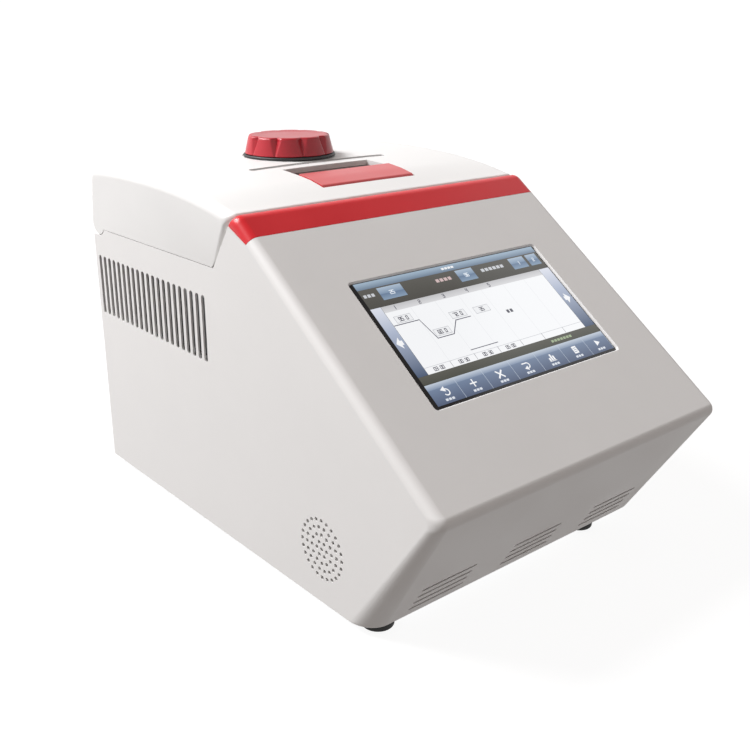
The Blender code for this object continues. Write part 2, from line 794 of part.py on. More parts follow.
def make_heat_sink():
    """A base with plate fins below it, open from front to back."""
    half = SINK_SIZE[0] / 2
    under = SINK_TOP - SINK_BASE
    count = 15
    pitch = (SINK_SIZE[0] - 0.002) / (count - 1)
    outline = [(half, SINK_TOP), (-half, SINK_TOP)]
    for i in range(count):
        left = -half + pitch * i
        outline += [(left, under), (left, SINK_FOOT), (left + 0.002, SINK_FOOT), (left + 0.002, under)]
    outline = outline[:2] + [p for p in outline[3:-1]]
    back = -(SINK_Y + SINK_SIZE[1] / 2)
    sink = sweep("heat_sink", [outline], back, back + SINK_SIZE[1], FRONT)
    finish(sink, "aluminium")


# ---------------------------------------------------------------- fans
def make_fan(side, x):
    half = FAN_SIZE / 2
    ring = [rectangle((x - half, FAN_Z - half), (x + half, FAN_Z + half), 0.004),
            circle((x, FAN_Z), FAN_BORE, 24)]
    back = FAN_FRONT + FAN_DEPTH
    frame = sweep(f"fan_frame_{side}", ring, -back, -FAN_FRONT, FRONT)
    arms = []
    for i, angle in enumerate((45, 165, 285)):
        arm = box(f"fan_arm_{side}_{i}", (0.010, back - 0.003, -0.002), (FAN_BORE + 0.0012, back - 0.0002, 0.002))
        arm.data.transform(Matrix.Translation((x, 0, FAN_Z)) @ Matrix.Rotation(math.radians(angle), 4, "Y"))
        arms.append(arm)
    hub = cylinder(f"fan_motor_{side}", (x, back - 0.0042, FAN_Z), (x, back - 0.0002, FAN_Z), 0.0140, 16)
    join(frame, hub, *arms)
    finish(frame, "black_plastic")

    rotor = cylinder(f"fan_rotor_{side}", (x, FAN_FRONT + 0.003, FAN_Z), (x, back - 0.0052, FAN_Z), 0.0150, 21)
    blades = []
    for i in range(7):
        blade = box(f"fan_blade_{side}_{i}", (0.012, -0.0006, -0.0095), (FAN_BORE - 0.0015, 0.0006, 0.0095))
        blade.data.transform(Matrix.Translation((x, (FAN_FRONT + back) / 2 - 0.001, FAN_Z))
                             @ Matrix.Rotation(math.radians(360 / 7 * i), 4, "Y")
                             @ Matrix.Rotation(math.radians(48), 4, "X"))
        blades.append(blade)
    join(rotor, *blades)
    finish(rotor, "black_plastic", (x, (FAN_FRONT + back) / 2, FAN_Z))


def make_shroud():
    """A sheet that carries air from the heat sink's fins into both fans."""
    low = (-0.0840, SINK_FOOT - 0.030)
    high = (0.0840, SINK_TOP + 0.004)
    loops = [rectangle(low, high, 0.003), circle((-FAN_X, FAN_Z), FAN_BORE, 20), circle((FAN_X, FAN_Z), FAN_BORE, 20)]
    front = FAN_FRONT - 0.0035
    shroud = sweep("fan_shroud", loops, -front - 0.0015, -front, FRONT)
    finish(shroud, "zinc_sheet")


# ---------------------------------------------------------------- electronics
def make_power_supply():
    low = (-0.1120, 0.0150, FEET + 0.0045)
    high = (-0.0120, 0.1450, FEET + 0.0450)
    case = box("power_supply", low, high)
    vents = [rectangle((low[0] + 0.020, y), (high[0] - 0.020, y + 0.004)) for y in (0.04, 0.055, 0.07, 0.085, 0.10)]
    cut(case, sweep("supply_vents", vents, high[2] - 0.002, high[2] + 0.002, TOP))
    finish(case, "zinc_sheet")


def make_main_board():
    z = FEET + 0.010
    board = sweep("main_board", [rectangle((0.0050, -0.0100), (0.1150, 0.1450), 0.003)], z, z + 0.0016, TOP)
    pieces = [
        ((0.012, 0.010), (0.030, 0.050), 0.024), ((0.040, 0.020), (0.062, 0.042), 0.006),
        ((0.075, 0.012), (0.105, 0.022), 0.011), ((0.075, 0.060), (0.090, 0.100), 0.018),
        ((0.020, 0.080), (0.050, 0.110), 0.014), ((0.098, 0.060), (0.110, 0.130), 0.010),
    ]
    parts = []
    for i, (low, high, height) in enumerate(pieces):
        parts.append(box(f"board_part_{i}", (*low, z + 0.001), (*high, z + 0.0016 + height)))
    for i, (x, y) in enumerate(((0.010, 0.0), (0.110, 0.0), (0.010, 0.135), (0.110, 0.135))):
        parts.append(cylinder(f"standoff_{i}", (x, y, FEET + 0.0023), (x, y, z + 0.001), 0.003, 8))
    join(board, *parts)
    finish(board, "circuit_board")


def make_speaker():
    """A small loudspeaker behind the round pattern of holes: magnet, frame and rim."""
    profile = [(0, 0.0180), (0.0110, 0.0180), (0.0110, 0.0110), (0.0180, 0.0070), (0.0225, 0.0030),
               (0.0250, 0.0030), (0.0250, 0), (0, 0)]
    speaker = turned("speaker", profile, (-HALF + WALL + CLEAR, *SPEAKER), 20)
    speaker.rotation_euler = (0, math.pi / 2, 0)
    finish(speaker, "black_plastic")


# ---------------------------------------------------------------- rear fittings
def make_inlet():
    """A three-pin mains inlet: a flanged body with a deep socket."""
    x, z = INLET
    face = REAR
    body = box("mains_inlet", (x - 0.0139, PANEL_INSIDE - 0.024, z - 0.0099), (x + 0.0139, face - 0.0001, z + 0.0099))
    socket = sweep("inlet_socket", [rounded([(x - 0.0120, z - 0.0080, 0.001), (x + 0.0120, z - 0.0080, 0.001),
                                             (x + 0.0120, z + 0.0040, 0.001), (x + 0.0080, z + 0.0080, 0.001),
                                             (x - 0.0080, z + 0.0080, 0.001), (x - 0.0120, z + 0.0040, 0.001)], 45)],
                   -face - 0.002, -face + 0.0170, FRONT)
    cut(body, socket)
    pins = []
    for i, (dx, dz) in enumerate(((-0.007, -0.002), (0.0, 0.002), (0.007, -0.002))):
        pins.append(box(f"inlet_pin_{i}", (x + dx - 0.001, face - 0.0185, z + dz - 0.002),
                        (x + dx + 0.001, face - 0.0030, z + dz + 0.002)))
    join(body, *pins)
    finish(body, "black_plastic")


def make_switch():
    """The mains switch: a snap-in housing and the rocker that tilts in it."""
    x, z = SWITCH
    face = REAR - 0.0001
    case = box("switch_housing", (x - 0.0066, PANEL_INSIDE - 0.018, z - 0.0096), (x + 0.0066, face, z + 0.0096))
    cut(case, box("switch_well", (x - 0.0052, face - 0.0110, z - 0.0082), (x + 0.0052, face + 0.005, z + 0.0082)))
    finish(case, "black_plastic")
    pivot = (x, face - 0.0060, z)
    tilt = math.radians(8)
    rocker = sweep("power_rocker", [rounded([(-0.0025, -0.0066, 0.0004), (0.0038, -0.0062, 0.0006),
                                             (0.0026, 0, 0.010), (0.0038, 0.0062, 0.0006),
                                             (-0.0025, 0.0066, 0.0004)], 20)], -0.0048, 0.0048, SIDE)
    rocker.data.transform(Matrix.Translation(pivot) @ Matrix.Rotation(tilt, 4, "X"))
    finish(rocker, "black_plastic", pivot)


def make_usb():
    x, z = USB
    face = REAR - 0.0001
    socket = box("usb_socket", (x - 0.0061, PANEL_INSIDE - 0.012, z - 0.0057), (x + 0.0061, face, z + 0.0057))
    cut(socket, box("usb_hole", (x - 0.0043, face - 0.0100, z - 0.0039), (x + 0.0043, face + 0.002, z + 0.0039)))
    join(socket, box("usb_tongue", (x - 0.0028, face - 0.0110, z - 0.0012), (x + 0.0028, face - 0.0020, z + 0.0012)))
    finish(socket, "steel")


# ---------------------------------------------------------------- lid
def lid_outline(inset=0.0, foot=LID_FOOT):
    """The lid from the side: front face, arched top, back, and the round heel about the hinge."""
    front, along = lid_front_line()
    front = front + Vector((inset, 0)) / math.sin(math.atan2(abs(along.y), abs(along.x)))
    front_line = (front, along)
    top_front_z = BROW_TOP[1] - 0.0002 - inset
    front_top = at_height(front_line, top_front_z)
    corners = [(*at_height(front_line, foot), 0), (*front_top, 0.0015 if not inset else 0.0005)]
    for y in (0.006, 0.020, 0.036, 0.056, 0.080, 0.106, 0.132, 0.160):
        corners.append((y, lid_top(y) - inset, 0))
    corners.append((REAR - inset, lid_top(REAR) - inset, 0.006 - inset))
    radius = HEEL_RADIUS - inset
    drop = math.degrees(math.asin(min(1.0, (HINGE[1] - LID_FOOT) / HEEL_RADIUS)))
    if inset:
        corners += [(y, z, 0) for y, z in arc(HINGE, radius, 360, 262, 6)]
        corners.append((HINGE[0] - 0.004, foot, 0))
    else:
        corners += [(y, z, 0) for y, z in arc(HINGE, radius, 360, 180 + drop, 9)]
    return rounded(corners)


def on_lid_top_edge(y, z):
    front, along = lid_front_line()
    lean = (Vector((y, z)) - front).dot(Vector((along.y, -along.x)))
    return z > LID_FOOT + 0.006 and abs(lean) > 0.0008 and y < REAR - 0.0001 or z > 0.2305


def lid_solid(name):
    solid = sweep(name, [lid_outline()], -HALF, HALF, SIDE)
    round_side_edges(solid, HALF, LID_EDGE_RADIUS, on_lid_top_edge)
    return crown(solid)


def lid_room(name, inset):
    """The space inside the lid, open below."""
    room = sweep(name, [lid_outline(inset, LID_FOOT - 0.010)], -HALF + inset, HALF - inset, SIDE)
    return crown(room, inset)


def make_lid_cover():
    cover = lid_solid("lid_cover")
    hollow = lid_room("lid_hollow", WALL)
    seat = cylinder("knob_seat", (0, BLOCK_Y, KNOB_SEAT), (0, BLOCK_Y, KNOB_SEAT + 0.01), SEAT_RADIUS + 0.0008, 32)
    bush_hole = cylinder("bush_hole", (0, BLOCK_Y, 0.22), (0, BLOCK_Y, 0.26), 0.0103, 20)
    groove = sweep("lid_groove", [rectangle((-0.0605, 0.0665), (0.0605, 0.0720), 0.0026)], 0.225, 0.26, TOP)
    pocket = sweep("latch_opening", [latch_outline(0)], 0.222, 0.26, TOP)
    cut(cover, hollow, seat, bush_hole, groove, pocket, latch_pin_room("cover_pin_groove", 0.008))
    for side in (-1, 1):
        x = side * HINGE_X
        half = HINGE_LENGTH / 2 + 0.001
        cut(cover, box(f"hinge_notch_{side}", (x - half, HINGE[0] - 0.0046, LID_FOOT - 0.010),
                       (x + half, REAR + 0.002, HINGE[1] + 0.0040)))
    finish(cover, "white_plastic", (0, *HINGE), LID_AXIS)


def latch_outline(spare):
    """The opening for the latch: as wide as the paddle, and behind it stepped in on the right."""
    front = LATCH_PIN[0] - PADDLE_BARREL - PADDLE_GAP - spare
    back = POCKET_BACK + spare
    step = PADDLE_BACK + 0.0010
    wide = PADDLE_HALF + PADDLE_GAP + spare
    narrow = POCKET_RIGHT + spare
    return [(-wide, front), (wide, front), (wide, step), (narrow + 0.003, step), (narrow, back), (-wide, back)]


def make_lid_liner():
    """The tray that closes the lid from below, around the heated plate."""
    side = HALF - WALL - CLEAR
    front = at_height(lid_front_line(), LID_FOOT + 0.0005)[0] + WALL / 0.86 + 0.0007
    low = (-side, front)
    high = (side, HINGE[0] - 0.0060)
    hole = rectangle((-0.0600, BLOCK_Y - 0.0420), (0.0600, BLOCK_Y + 0.0420), 0.004)
    slot = rectangle((-0.0100, front + 0.0010), (0.0100, HOOK_TIP + 0.0030))
    liner = sweep("lid_liner", [rectangle(low, high), hole, slot], LID_FOOT + 0.0005, LID_FOOT + 0.0025, TOP)
    finish(liner, "grey_plastic", (0, *HINGE), LID_AXIS)


def make_hinges():
    y, z = HINGE
    for side, sign in (("left", -1), ("right", 1)):
        middle = sign * HINGE_X
        half = HINGE_LENGTH / 2
        knuckle = circle(HINGE, KNUCKLE_RADIUS, 16)
        bore = circle(HINGE, HINGE_PIN_RADIUS + CLEAR, 12)
        third = HINGE_LENGTH / 3
        # Case leaf: two outer knuckles on a plate that hangs inside the rear panel.
        low = (middle - half, y + 0.0016, z - 0.0340)
        leaf = box(f"hinge_leaf_case_{side}", low, (middle + half, y + KNUCKLE_RADIUS - 0.0001, z - 0.0048))
        for end in (-1, 1):
            outer = middle + end * half
            inner = middle + end * (third / 2 + CLEAR)
            barrel = sweep(f"case_knuckle_{side}_{end}", [knuckle], min(outer, inner), max(outer, inner), SIDE)
            neck = box(f"case_neck_{side}_{end}", (min(outer, inner), y + 0.0016, z - 0.0060),
                       (max(outer, inner), y + KNUCKLE_RADIUS - 0.0001, z))
            join(leaf, barrel, neck)
        cut(leaf, sweep(f"case_bore_{side}", [bore], middle - half - 0.01, middle + half + 0.01, SIDE))
        finish(leaf, "steel")
        # Lid leaf: one middle knuckle on a plate against the lid's back wall.
        inner = third / 2
        plate = box(f"hinge_leaf_lid_{side}", (middle - inner, y + 0.0016, z),
                    (middle + inner, REAR - WALL - CLEAR, z + 0.0260))
        join(plate, sweep(f"lid_knuckle_{side}", [knuckle], middle - inner, middle + inner, SIDE))
        cut(plate, sweep(f"lid_bore_{side}", [bore], middle - half - 0.01, middle + half + 0.01, SIDE),
            box(f"lid_leaf_relief_{side}", (middle - half, y + KNUCKLE_RADIUS, z - 0.001),
                (middle + half, REAR, z + 0.0045)))
        finish(plate, "steel", (0, *HINGE), LID_AXIS)
        pin = cylinder(f"hinge_pin_{side}", (middle - half - 0.001, y, z), (middle + half + 0.001, y, z),
                       HINGE_PIN_RADIUS, 12)
        finish(pin, "steel")


# ---------------------------------------------------------------- knob, screw and heated plate
def knob_loop(radius, depth, per_lobe=6):
    """Broad lobes with narrow grooves between them."""
    points = []
    count = KNOB_LOBES * per_lobe
    for i in range(count):
        place = (i % per_lobe) / per_lobe
        dip = depth if place == 0 else 0.0
        bulge = 0.0006 * math.sin(math.pi * place)
        angle = 2 * math.pi * i / count
        points.append(((radius - dip + bulge) * math.cos(angle), (radius - dip + bulge) * math.sin(angle)))
    return points


def make_knob():
    """A lobed hand knob that narrows to the top, and its dark seat ring on the lid."""
    seat = turned("knob_seat_ring", [(0.0170, KNOB_SEAT + 0.0021), (SEAT_RADIUS, KNOB_SEAT + 0.0021),
                                     (SEAT_RADIUS, KNOB_SEAT + CLEAR), (0.0170, KNOB_SEAT + CLEAR)],
                  (0, BLOCK_Y, 0), 32, ring=True)
    finish(seat, "black_plastic", None, LID_AXIS)

    foot = KNOB_SEAT + 0.0024
    levels = ((foot, KNOB_FOOT_RADIUS, 0.0006), (foot + 0.0015, KNOB_FOOT_RADIUS - 0.0003, 0.0008),
              (KNOB_TOP - 0.0016, KNOB_TOP_RADIUS + 0.0004, 0.0026), (KNOB_TOP, KNOB_TOP_RADIUS - 0.0016, 0.0026))
    shape = bmesh.new()
    rings = []
    for z, radius, depth in levels:
        rings.append([shape.verts.new((a, b, z)) for a, b in knob_loop(radius, depth)])
    shape.faces.new(list(reversed(rings[0])))
    shape.faces.new(rings[-1])
    for lower, upper in zip(rings, rings[1:]):
        for i in range(len(lower)):
            k = (i + 1) % len(lower)
            shape.faces.new((lower[i], lower[k], upper[k], upper[i]))
    mesh = bpy.data.meshes.new("knob")
    shape.to_mesh(mesh)
    shape.free()
    knob = add_object("knob", mesh)
    knob.location = (0, BLOCK_Y, 0)
    cut(knob, cylinder("knob_socket", (0, BLOCK_Y, foot - 0.001), (0, BLOCK_Y, foot + 0.0080), 0.0052, 16))
    finish(knob, "red_plastic", None, LID_AXIS)

    spindle = turned("lid_screw", [(0, foot + 0.0070), (0.0048, foot + 0.0070), (0.0048, foot - 0.0010),
                                   (0.0040, foot - 0.0010), (0.0040, 0.2080), (0, 0.2080)], (0, BLOCK_Y, 0), 16)
    finish(spindle, "steel", None, LID_AXIS)
    bush = turned("screw_bush", [(0.0045, KNOB_SEAT - 0.0003), (0.0099, KNOB_SEAT - 0.0003), (0.0099, BUSH_TOP),
                                 (0.0150, BUSH_TOP), (0.0150, BUSH_TOP - 0.0030), (0.0045, BUSH_TOP - 0.0030)],
                  (0, BLOCK_Y, 0), 20, ring=True)
    finish(bush, "steel", None, LID_AXIS)


def make_heated_plate():
    """Heated plate, its insulation and the carrier that the screw raises and lowers on two guides."""
    half = (0.0570, 0.0390)
    low = (-half[0], BLOCK_Y - half[1])
    high = (half[0], BLOCK_Y + half[1])
    plate = sweep("heated_plate", [rectangle(low, high, 0.004)], PLATE_FOOT, PLATE_FOOT + 0.0045, TOP)
    finish(plate, "aluminium", None, LID_AXIS)
    z = PLATE_FOOT + 0.0045 + CLEAR
    blanket = sweep("heater_blanket", [rectangle((low[0] + 0.002, low[1] + 0.002), (high[0] - 0.002, high[1] - 0.002))],
                    z, z + 0.0015, TOP)
    finish(blanket, "silicone", None, LID_AXIS)
    z += 0.0015 + CLEAR
    carrier = sweep("plate_carrier",
                    [rectangle((-GUIDE_X - 0.008, BLOCK_Y - 0.030), (GUIDE_X + 0.008, BLOCK_Y + 0.030), 0.003),
                     circle((0, BLOCK_Y), 0.0043, 16),
                     circle((-GUIDE_X, BLOCK_Y), GUIDE_RADIUS + CLEAR, 12),
                     circle((GUIDE_X, BLOCK_Y), GUIDE_RADIUS + CLEAR, 12)],
                    z, z + 0.0035, TOP)
    nut = sweep("carrier_nut", [circle((0, BLOCK_Y), 0.0090, 6), circle((0, BLOCK_Y), 0.0043, 16)],
                z + 0.0030, z + 0.0110, TOP)
    join(carrier, nut)
    finish(carrier, "zinc_sheet", None, LID_AXIS)
    return z + 0.0035


def make_guides(carrier_top):
    """Two guide posts that hang from the lid's top, each with a coil spring above the carrier."""
    for side, sign in (("left", -1), ("right", 1)):
        x = sign * GUIDE_X
        neck = GUIDE_TOP - 0.0030
        post_foot = PLATE_FOOT + 0.0020
        post = turned(f"guide_post_{side}", [(0, GUIDE_TOP), (2 * GUIDE_RADIUS, GUIDE_TOP), (2 * GUIDE_RADIUS, neck),
                                             (GUIDE_RADIUS, neck), (GUIDE_RADIUS, post_foot), (0, post_foot)],
                      (x, BLOCK_Y, 0), 12)
        finish(post, "steel", None, LID_AXIS)
        low = carrier_top + 0.0007
        high = neck - 0.0010
        turns = 5
        per_turn = 10
        wire = 0.0005
        coil = bpy.data.curves.new(f"guide_spring_{side}", "CURVE")
        coil.dimensions = "3D"
        coil.bevel_depth = wire
        coil.bevel_resolution = 2
        coil.use_fill_caps = True
        spline = coil.splines.new("POLY")
        spline.points.add(turns * per_turn)
        for i, point in enumerate(spline.points):
            angle = 2 * math.pi * i / per_turn
            height = lerp(low, high, i / (turns * per_turn))
            point.co = (0.0045 * math.cos(angle), 0.0045 * math.sin(angle), height, 1)
        spring = bpy.data.objects.new(f"guide_spring_{side}", coil)
        new_collection(PARTS).objects.link(spring)
        paint(spring, "steel")
        spring.location = Vector((x, BLOCK_Y, 0)) - LID_AXIS.location
        spring.parent = LID_AXIS


# ---------------------------------------------------------------- latch
def lid_surface(y):
    """Height of the lid's top along its centre line."""
    return lid_top(y) + LID_CROWN * min(max((y - BROW_TOP[0]) / CROWN_RUN, 0), 1)


def make_paddle():
    """A plate with a barrel along its front edge, and an arm below that swings the hook."""
    pin_y, pin_z = LATCH_PIN
    middle = (pin_y + PADDLE_BACK) / 2
    back_top = lid_surface(PADDLE_BACK) + PADDLE_PROUD
    profile = arc(LATCH_PIN, PADDLE_BARREL, 290, 95, 7)
    profile += [(middle, lid_surface(middle) + PADDLE_PROUD), (PADDLE_BACK, back_top),
                (PADDLE_BACK, back_top - 0.0028), (middle, lid_surface(middle) - 0.0024)]
    paddle = sweep("latch_paddle", [profile], -PADDLE_HALF, PADDLE_HALF, SIDE)
    arm = sweep("paddle_arm", [[(pin_y, pin_z - 0.0015), (pin_y + 0.0030, pin_z - 0.0055), (0.0215, 0.2222),
                                (0.0250, 0.2222), (0.0250, 0.2260), (pin_y + 0.0060, pin_z)]],
                -HOOK_HALF, HOOK_HALF, SIDE)
    join(paddle, arm)
    bore = sweep("paddle_bore", [circle(LATCH_PIN, 0.0014, 10)], -HALF, HALF, SIDE)
    cut(paddle, bore)
    finish(paddle, "red_plastic", (0, *LATCH_PIN), LID_AXIS)
    pin_half = PADDLE_HALF + 0.0030
    pin = cylinder("latch_pin", (-pin_half, *LATCH_PIN), (pin_half, *LATCH_PIN), 0.0012, 10)
    finish(pin, "steel", None, LID_AXIS)


def latch_pin_room(name, below):
    """Cutter for the groove that holds the ends of the latch pin."""
    pin_y, pin_z = LATCH_PIN
    half = PADDLE_HALF + 0.0035
    return box(name, (-half, pin_y - 0.0015, pin_z - below), (half, pin_y + 0.0015, pin_z + 0.0015))


def make_latch_housing():
    """The pocket under the lid's opening, with two lugs below it for the hook's pin."""
    housing = sweep("latch_housing", [latch_outline(POCKET_WALL)], POCKET_FLOOR - 0.0020, LID_PEAK, TOP)
    room = lid_room("housing_limit", WALL + CLEAR)
    hollow = sweep("pocket_hollow", [latch_outline(0)], POCKET_FLOOR, LID_PEAK + 0.01, TOP)
    keep_common(housing, room)
    cut(housing, hollow, latch_pin_room("housing_pin_groove", 0.0024))
    lugs = []
    for side in (-1, 1):
        near = side * (HOOK_HALF + 0.0008)
        far = side * (HOOK_HALF + 0.0038)
        lugs.append(box(f"hook_lug_{side}", (min(near, far), HOOK_PIN[0] - 0.0045, HOOK_PIN[1] - 0.0032),
                        (max(near, far), HOOK_PIN[0] + 0.0045, POCKET_FLOOR - 0.0010)))
    join(housing, *lugs)
    reach = HOOK_HALF + 0.005
    cut(housing, sweep("lug_bore", [circle(HOOK_PIN, 0.0017, 10)], -reach, reach, SIDE),
        box("arm_slot", (-HOOK_HALF - 0.0008, 0.0195, POCKET_FLOOR - 0.004),
            (HOOK_HALF + 0.0008, 0.0348, POCKET_FLOOR + 0.001)))
    finish(housing, "grey_plastic", None, LID_AXIS)


def make_hook():
    """The hook: a tail that the paddle's arm pushes, a stem and a nose that points back."""
    pin_y, pin_z = HOOK_PIN
    nose_top = DECK_TOP - DECK_THICKNESS - 0.0030
    front = pin_y - 0.0022
    back = pin_y + 0.0030
    profile = [(front, nose_top - 0.0045), (HOOK_TIP - 0.0035, nose_top - 0.0045), (HOOK_TIP, nose_top - 0.0012),
               (HOOK_TIP, nose_top), (back, nose_top), (back, pin_z + 0.0020), (0.0295, 0.2224), (0.0260, 0.2224),
               (front, pin_z + 0.0040)]
    hook = sweep("latch_hook", [profile], -HOOK_HALF, HOOK_HALF, SIDE)
    cut(hook, sweep("hook_bore", [circle(HOOK_PIN, 0.0017, 10)], -0.02, 0.02, SIDE))
    finish(hook, "steel", (0, *HOOK_PIN), LID_AXIS)
    reach = HOOK_HALF + 0.0042
    pin = cylinder("hook_pin", (-reach, *HOOK_PIN), (reach, *HOOK_PIN), 0.0015, 10)
    finish(pin, "steel", None, LID_AXIS)


# ---------------------------------------------------------------- assembly
PARTS = "thermal_cycler"
CUTTERS = "cutters"

empty_scene()
new_collection(PARTS)
new_collection(CUTTERS)
LID_AXIS = frame_empty("lid_axis", (0, *HINGE))

make_case()
make_base()
make_feet()
make_rear_panel()
make_deck()
make_screen()
make_sample_block()
make_block_frame()
make_coolers()
make_heat_sink()
make_fan("left", -FAN_X)
make_fan("right", FAN_X)
make_shroud()
make_power_supply()
make_main_board()
make_speaker()
make_inlet()
make_switch()
make_usb()
make_lid_cover()
make_lid_liner()
make_hinges()
make_knob()
make_guides(make_heated_plate())
make_paddle()
make_latch_housing()
make_hook()
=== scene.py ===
"""Looks of a bench-top thermal cycler: fine surfaces, materials, screen picture, camera and studio light.

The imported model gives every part's place. Metres, +Z up, front towards -Y."""

import json
import math

import bmesh
import bpy
from mathutils import Matrix, Vector

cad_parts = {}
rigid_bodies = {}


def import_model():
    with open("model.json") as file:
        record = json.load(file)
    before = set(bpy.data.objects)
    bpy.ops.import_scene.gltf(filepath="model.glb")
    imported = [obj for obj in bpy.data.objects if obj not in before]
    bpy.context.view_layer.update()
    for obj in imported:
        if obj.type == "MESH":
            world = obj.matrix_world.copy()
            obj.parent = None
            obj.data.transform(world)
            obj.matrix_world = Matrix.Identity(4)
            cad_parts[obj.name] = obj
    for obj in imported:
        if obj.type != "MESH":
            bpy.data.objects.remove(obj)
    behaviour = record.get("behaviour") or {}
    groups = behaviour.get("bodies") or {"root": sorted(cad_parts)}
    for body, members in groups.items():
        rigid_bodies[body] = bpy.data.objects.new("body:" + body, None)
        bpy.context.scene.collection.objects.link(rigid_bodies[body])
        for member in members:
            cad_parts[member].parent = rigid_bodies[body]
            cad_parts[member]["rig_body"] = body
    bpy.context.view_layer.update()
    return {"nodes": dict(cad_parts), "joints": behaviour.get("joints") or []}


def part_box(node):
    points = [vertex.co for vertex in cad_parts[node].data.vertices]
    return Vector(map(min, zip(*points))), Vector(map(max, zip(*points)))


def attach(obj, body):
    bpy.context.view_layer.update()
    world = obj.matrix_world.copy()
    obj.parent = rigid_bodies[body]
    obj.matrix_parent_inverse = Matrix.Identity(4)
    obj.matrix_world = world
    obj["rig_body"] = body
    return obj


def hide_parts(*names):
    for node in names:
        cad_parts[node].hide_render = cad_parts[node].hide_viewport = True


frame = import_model()
NODES = frame["nodes"]

# ---------------- driving dimensions
CASE_LOW, CASE_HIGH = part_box("body_shell")
BLOCK_LOW, BLOCK_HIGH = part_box("sample_block")
KNOB_LOW, KNOB_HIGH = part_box("knob")
SEAT_LOW, SEAT_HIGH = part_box("knob_seat_ring")
PADDLE_LOW, PADDLE_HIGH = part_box("latch_paddle")
JOINTS = {joint["name"]: joint for joint in frame["joints"]}

HALF = CASE_HIGH.x
REAR = CASE_HIGH.y
FEET = CASE_LOW.z
WALL = 0.0035
CLEAR = 0.0003
FINE = 4                # degrees between the points of a rounded corner
COARSE = 15             # the same, where the corner is small
SHARP_EDGE = 32         # degrees between two faces, from which their edge is rounded
SMOOTH_EDGE = 38        # degrees between two faces, up to which they are shaded as one surface

# The case's side profile, as (y, z) corners.
NOSE = (-0.1892, 0.0980)
FRONT_FOOT = (-0.1328, FEET)
BEND = (-0.0114, 0.2278)
BROW_TOP = (-0.0083, 0.2280)
BROW_FOOT = (0.0163, 0.1919)
NOSE_RADIUS = 0.0056
BEND_RADIUS = 0.009
SLANT_EDGE = 0.0065      # rounding of the side edges along the slanted front
UNDER_EDGE = 0.0140      # at the foot of the undercut, from where it tapers up to the slant's
BAND_LENGTH = 0.0172
BAND_THICKNESS = 0.0018

# The lid: a curve from front to back, a little higher in the middle than at its sides.
HINGE = tuple(JOINTS["lid_hinge"]["pos_m"][1:])
HEEL_RADIUS = REAR - HINGE[0]
HEEL_GAP = 0.0008
HEEL_START = 210.97      # degrees round the hinge, where the case's bed for the heel begins
LID_PEAK = 0.2394
LID_PEAK_Y = 0.120
LID_ARC = 0.51
LID_DROOP = 15
LID_CROWN = 0.0028
CROWN_RUN = 0.035
CROWN_FOOT = 0.222
CROWN_RISE = 0.008
LID_FOOT = 0.1924
LID_FRONT_GAP = 0.0014
LID_EDGE_RADIUS = 0.0068
LID_STATIONS = 36        # points along the curved top
LID_FIRST_STATION = 0.003
LID_STATION_STEP = 0.0047
BLOCK_Y = (BLOCK_LOW.y + BLOCK_HIGH.y) / 2
KNOB_SEAT = SEAT_LOW.z - CLEAR
KNOB_TOP_RADIUS = 0.0289

LATCH_PIN = tuple(JOINTS["latch_pull"]["pos_m"][1:])
PADDLE_HALF = PADDLE_HIGH.x
PADDLE_BACK = PADDLE_HIGH.y
PADDLE_GAP = 0.0007
PADDLE_BARREL = LATCH_PIN[0] - PADDLE_LOW.y
HALF_ARM = 0.0045
POCKET_BACK = 0.0585
POCKET_RIGHT = 0.0345
POCKET_FLOOR = 0.2235

SCREEN_MIDDLE = 0.11066
SCREEN_OPENING = (0.1625, 0.0945)
BEYOND = 0.010          # how far a cutting tool reaches past what it cuts
SPEAKER = (-0.0902, 0.0424)
SPEAKER_HOLE = 0.00135
SPEAKER_PITCH = 0.0047
CLOTH_RADIUS = 0.0215
INTAKE_SLOT = (0.044, 0.0024)
INTAKE_PITCH = 0.077     # of the three groups of flat slots in the undercut
INTAKE_ROWS = 4
INTAKE_ROW = 0.0070
INTAKE_FOOT = 0.0088     # from the undercut's foot up to the first slot
THIN_WALL = 0.0014        # of the case at its vents and holes
RECESS_DEPTH = 0.0060     # from the outside to past the wall's inside
SLOT_COUNT = 21
SLOT_PITCH = 0.00738
SLOT_HALF = (0.0021, 0.0226)
SLOT_Z = 0.1491
FIRST_SLOT = REAR - 0.0070
LAST_SLOT = FIRST_SLOT - SLOT_PITCH * (SLOT_COUNT - 1)

# How a flat outline is set up before it is swept: across the case, or upright.
SIDE = Matrix(((0, 0, 1, 0), (1, 0, 0, 0), (0, 1, 0, 0), (0, 0, 0, 1)))
TOP = Matrix.Identity(4)


# ---------------- outlines
def lerp(a, b, t):
    return a + (b - a) * t


def arc(centre, radius, start, end, steps):
    """Points on an arc, angles in degrees."""
    points = []
    for i in range(steps + 1):
        angle = math.radians(lerp(start, end, i / steps))
        points.append((centre[0] + radius * math.cos(angle), centre[1] + radius * math.sin(angle)))
    return points


def circle(centre, radius, sides):
    return arc(centre, radius, 0, 360 - 360 / sides, sides - 1)


def corner_arc(corners, i, step, steps=None):
    """The arc that replaces corner i, an (a, b, radius), and is tangent to both of its sides."""
    a, b, radius = corners[i]
    if radius <= 0:
        return [(a, b)]
    here = Vector((a, b))
    before = (Vector(corners[i - 1][:2]) - here).normalized()
    after = (Vector(corners[(i + 1) % len(corners)][:2]) - here).normalized()
    half_angle = before.angle(after) / 2
    centre = here + (before + after).normalized() * (radius / math.sin(half_angle))
    first = here + before * (radius / math.tan(half_angle)) - centre
    turn = math.pi - 2 * half_angle
    if before.x * after.y - before.y * after.x > 0:
        turn = -turn
    steps = steps or max(2, math.ceil(abs(math.degrees(turn)) / step - 0.001))
    return [tuple(centre + Matrix.Rotation(turn * k / steps, 2) @ first) for k in range(steps + 1)]


